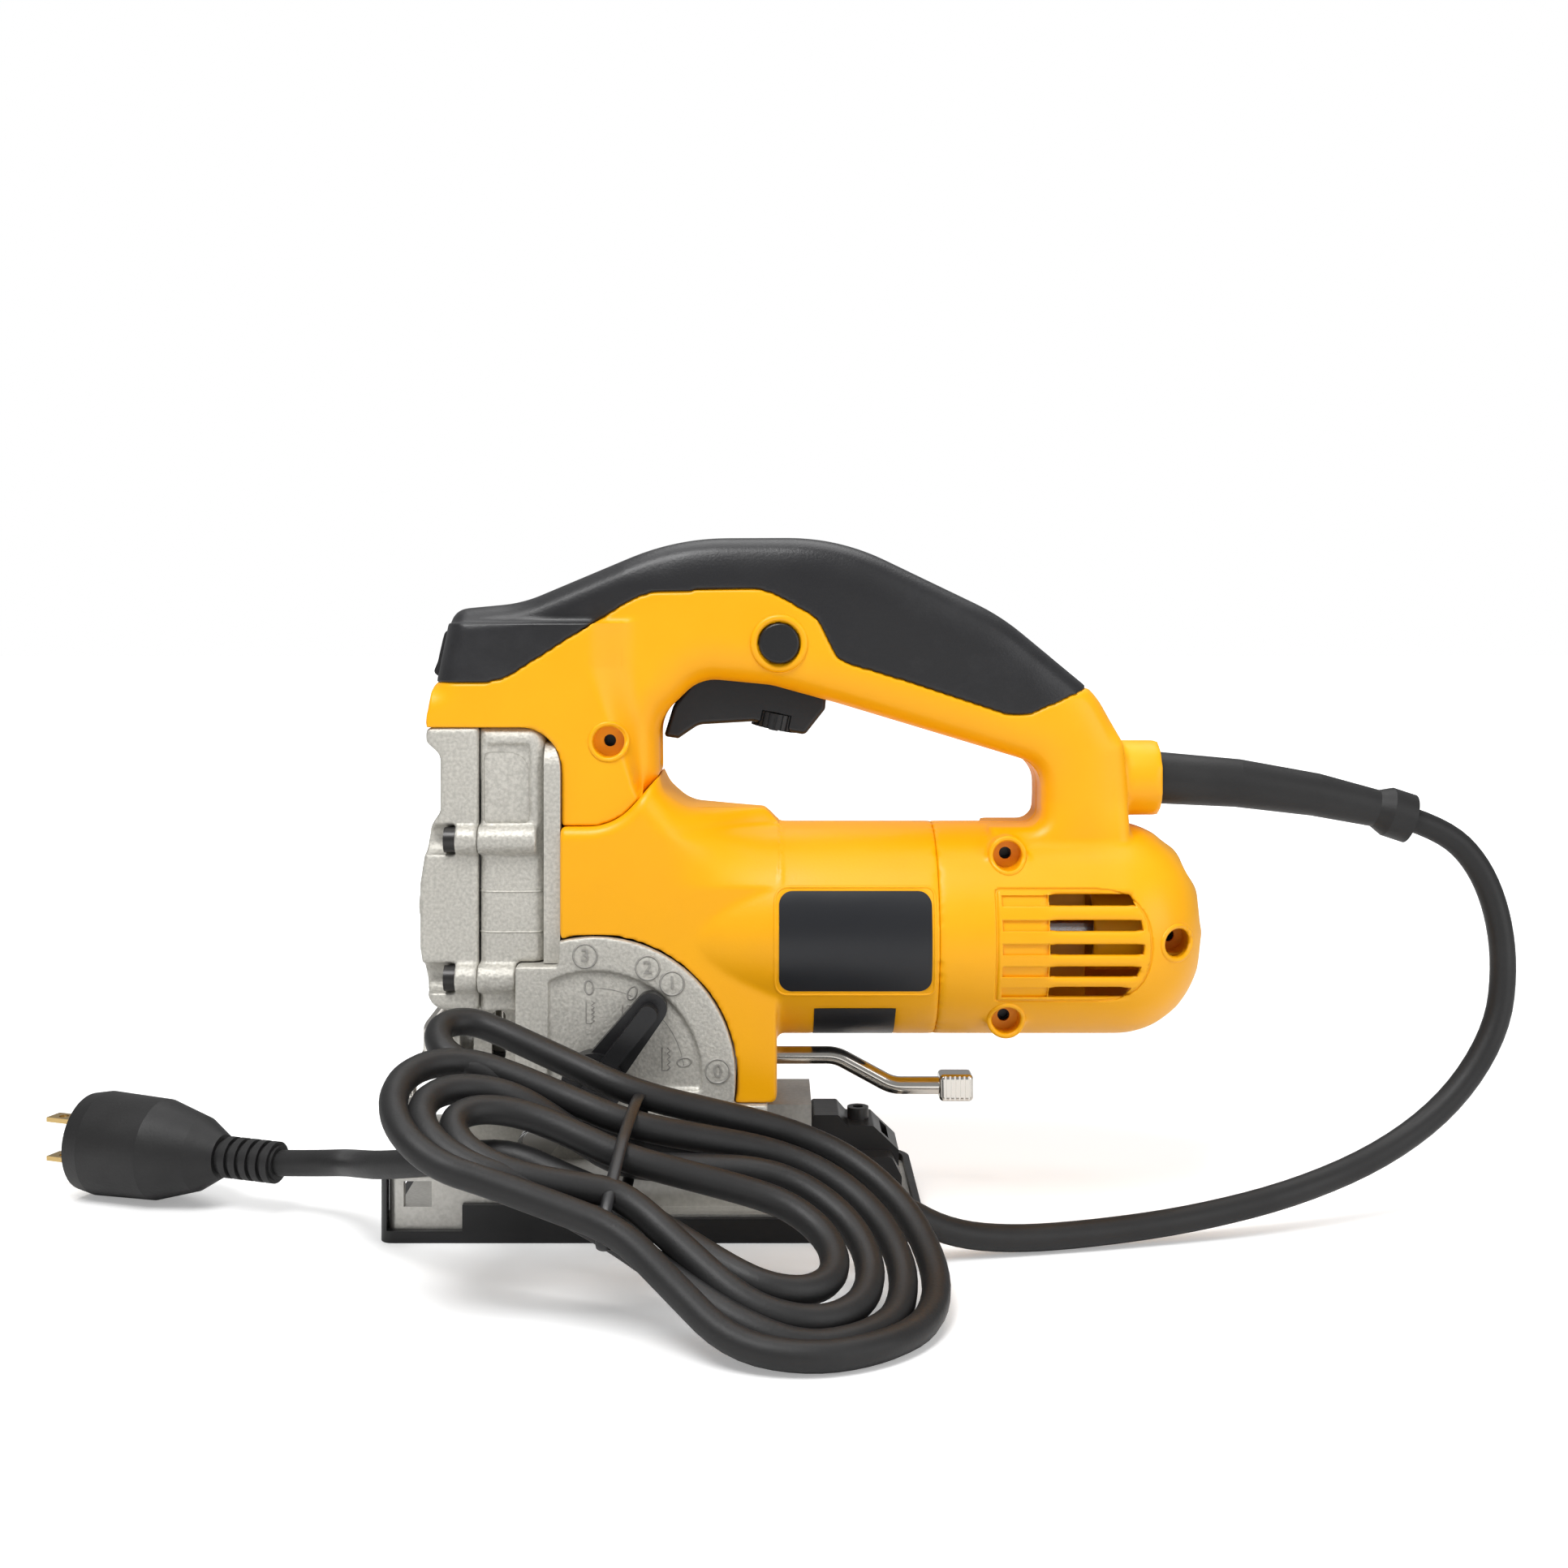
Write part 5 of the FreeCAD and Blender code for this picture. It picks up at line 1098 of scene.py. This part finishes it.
    def well_steps(self) -> bpy.types.Object:
        """Narrower ledges inside the screw wells."""
        bm = bmesh.new()
        for (x, z, radius), face in zip(self.screws, self.screw_face):
            rings = [bmesh.ops.create_circle(bm, segments=32, radius=size)["verts"]
                     for size in (radius + 0.3, self.ledge_hole)]
            edges = [edge for edge in bm.edges if all(any(v in ring for ring in rings) for v in edge.verts)]
            faces = bmesh.ops.bridge_loops(bm, edges=edges)["faces"]
            deep = pushed(bm, faces, (0, 0, -self.ledge_thick))
            verts = rings[0] + rings[1] + deep
            bmesh.ops.rotate(bm, verts=verts, matrix=Matrix.Rotation(math.pi / 2, 3, "X"))
            bmesh.ops.translate(bm, verts=verts, vec=(x, -face + self.ledge_depth, z))
        return from_bmesh("well_steps", bm, smooth=False)

    def air_baffle(self) -> bpy.types.Object:
        """Mid-plane wall above and below the shaft, behind the vents."""
        bm = bmesh.new()
        for low, high in self.baffle_z:
            wall = bmesh.ops.create_cube(bm, size=1.0)["verts"]
            bmesh.ops.scale(bm, verts=wall, vec=(self.baffle_long, self.baffle_thick, high - low))
            bmesh.ops.translate(bm, verts=wall, vec=(self.baffle_x, 0, (low + high) / 2))
        bmesh.ops.bevel(bm, geom=bm.edges[:], offset=0.4, segments=2, profile=0.5, affect="EDGES",
                        material=-1)
        return from_bmesh("air_baffle", bm, smooth=False)


# --- castings ---
@dataclass
class Castings:
    """Gear case, its cover and the numbered pendulum housing."""

    voxel: float = 0.7
    passes: int = 2
    centre: tuple[float, float] = (-18.0, 47.5)
    numeral_r: float = 37.6
    numeral_high: float = 5.6
    ring_r: float = 3.6
    numerals: tuple[tuple[str, float], ...] = (("0", 3.8), ("1", 50.9), ("2", 64.3), ("3", 94.2))
    face: float = 31.0
    arc_r: float = 27.4
    detents: tuple[tuple[float, float, float], ...] = ((-19.7, 75.1, 4), (-6.6, 73.4, -24), (9.3, 52.3, -80))
    blades: tuple[tuple[float, float, int], ...] = ((-20.6, 67.6, 5), (-9.6, 66.6, 4), (2.6, 53.2, 4))
    wall: float = 23.4
    pocket: tuple[Point, ...] = (
        (-52.6, 146.2, 1.5), (-39.0, 146.2, 7), (-38.6, 124.6, 1.2), (-52.6, 124.6, 1.2))
    rib_x: tuple[float, float] = (-53.6, -34.6)
    rib_z: tuple[float, float] = (103.6, 91.2)

    def spot(self, radius: float, angle: float) -> tuple[float, float]:
        """Point (x, z) at a radius and an angle in degrees round the lever's axis."""
        return (self.centre[0] + radius * math.cos(math.radians(angle)),
                self.centre[1] + radius * math.sin(math.radians(angle)))

    def numeral(self, text: str, angle: float) -> bpy.types.Object:
        """One raised digit, upright on the side plate.

        Args:
            text: the digit.
            angle: its place round the lever's axis, in degrees.

        Returns:
            The digit.
        """
        data = bpy.data.curves.new("numeral_" + text, "FONT")
        data.body = text
        data.size = self.numeral_high * MM
        data.align_x, data.align_y = "CENTER", "CENTER"
        data.extrude = 0.22 * MM
        data.bevel_depth = 0.08 * MM
        digit = meshed(linked("numeral_" + text, data))
        x, z = self.spot(self.numeral_r, angle)
        digit.data.transform(Matrix.Translation(Vector((x, -self.face - 0.36, z)) * MM)
                             @ Matrix.Rotation(math.pi / 2, 4, "X"))
        return digit

    def blade_mark(self, x: float, z: float, teeth: int) -> list[np.ndarray]:
        """Small outline of a saw blade, teeth to the right.

        Args:
            x: its left edge.
            z: its middle.
            teeth: number of teeth.

        Returns:
            Its back and its toothed edge, in rows (x, z).
        """
        saw = [(x + 1.6 + 0.9 * (row % 2), z + 3.4 - 6.8 * row / (2 * teeth))
               for row in range(2 * teeth + 1)]
        return [np.array([(x, z + 3.4), (x, z - 3.4), (x + 1.6, z - 3.4)]), np.array(saw)]

    def build(self, workshop: Workshop) -> None:
        """Makes the soft castings and their raised marks, which are darkened with painted shade.

        Args:
            workshop: source of materials.
        """
        made = {node: softened(node, self.voxel, self.passes, "cast_aluminium", workshop)
                for node in ("gear_case", "gear_case_cover", "quadrant_housing")}
        pocket = rounded(self.pocket, True)[:-1]
        carved(made["gear_case"], [prism(f"side_pocket_{sign + 1}", pocket, (sign * self.wall, sign * 40.0))
                                   for sign in (-1, 1)])
        for node, piece in made.items():
            mounted(piece, "cast_aluminium", node)
        near = Side([made["quadrant_housing"]])
        rings = [circle(*self.spot(self.numeral_r, angle), self.ring_r, self.ring_r)
                 for _, angle in self.numerals]
        arc = np.array([self.spot(self.arc_r, angle) for angle in np.linspace(8, 92, 40)])
        marks = [circle(x, z, 1.3, 2.1, tilt) for x, z, tilt in self.detents]
        lines = [line for mark in self.blades for line in self.blade_mark(*mark)]
        pieces = [near.beads("numeral_rings", rings, 0.36, 0.05), near.beads("travel_arc", [arc], 0.16),
                  near.beads("detent_marks", marks, 0.34, 0.05), near.beads("blade_marks", lines, 0.2)]
        pieces += [self.numeral(text, angle) for text, angle in self.numerals]
        for sign in (-1, 1):
            wall = Side([made["gear_case"]], sign)
            ribs = [np.array([(self.rib_x[0], z), (self.rib_x[1], z)]) for z in self.rib_z]
            pieces.append(wall.beads(f"case_ribs_{sign + 1}", ribs, 0.3, 0.05))
        for piece in pieces:
            # Digits, rings, arc and marks take the darker copy of the cast aluminium as painted shade; the
            # case ribs keep the plain casting.
            skin = "cast_aluminium" if piece.name.startswith("case") else "cast_painted_shade"
            mounted(workshop.dress(piece, skin), "cast_aluminium")


# --- carried-over solids ---
def dress_solids(workshop: Workshop) -> None:
    """Gives every shown solid the material of its slot."""
    for part in frame["record"]["subparts"]:
        node = frame["nodes"][part["node"]]
        if not node.hide_render:
            workshop.dress(node, part["material_slot"])


def main() -> None:
    """Builds the studio, the cord, the mouldings and the details in order."""
    logging.basicConfig(level=logging.INFO, format="%(name)s: %(message)s")
    workshop = Workshop()
    Studio().build()
    lead = Lead()
    cord = lead.build(workshop)
    strap = Tie().build(workshop, lead)
    Housing().build(workshop)
    Castings().build(workshop)
    dress_solids(workshop)


if __name__ == "__main__":
    main()
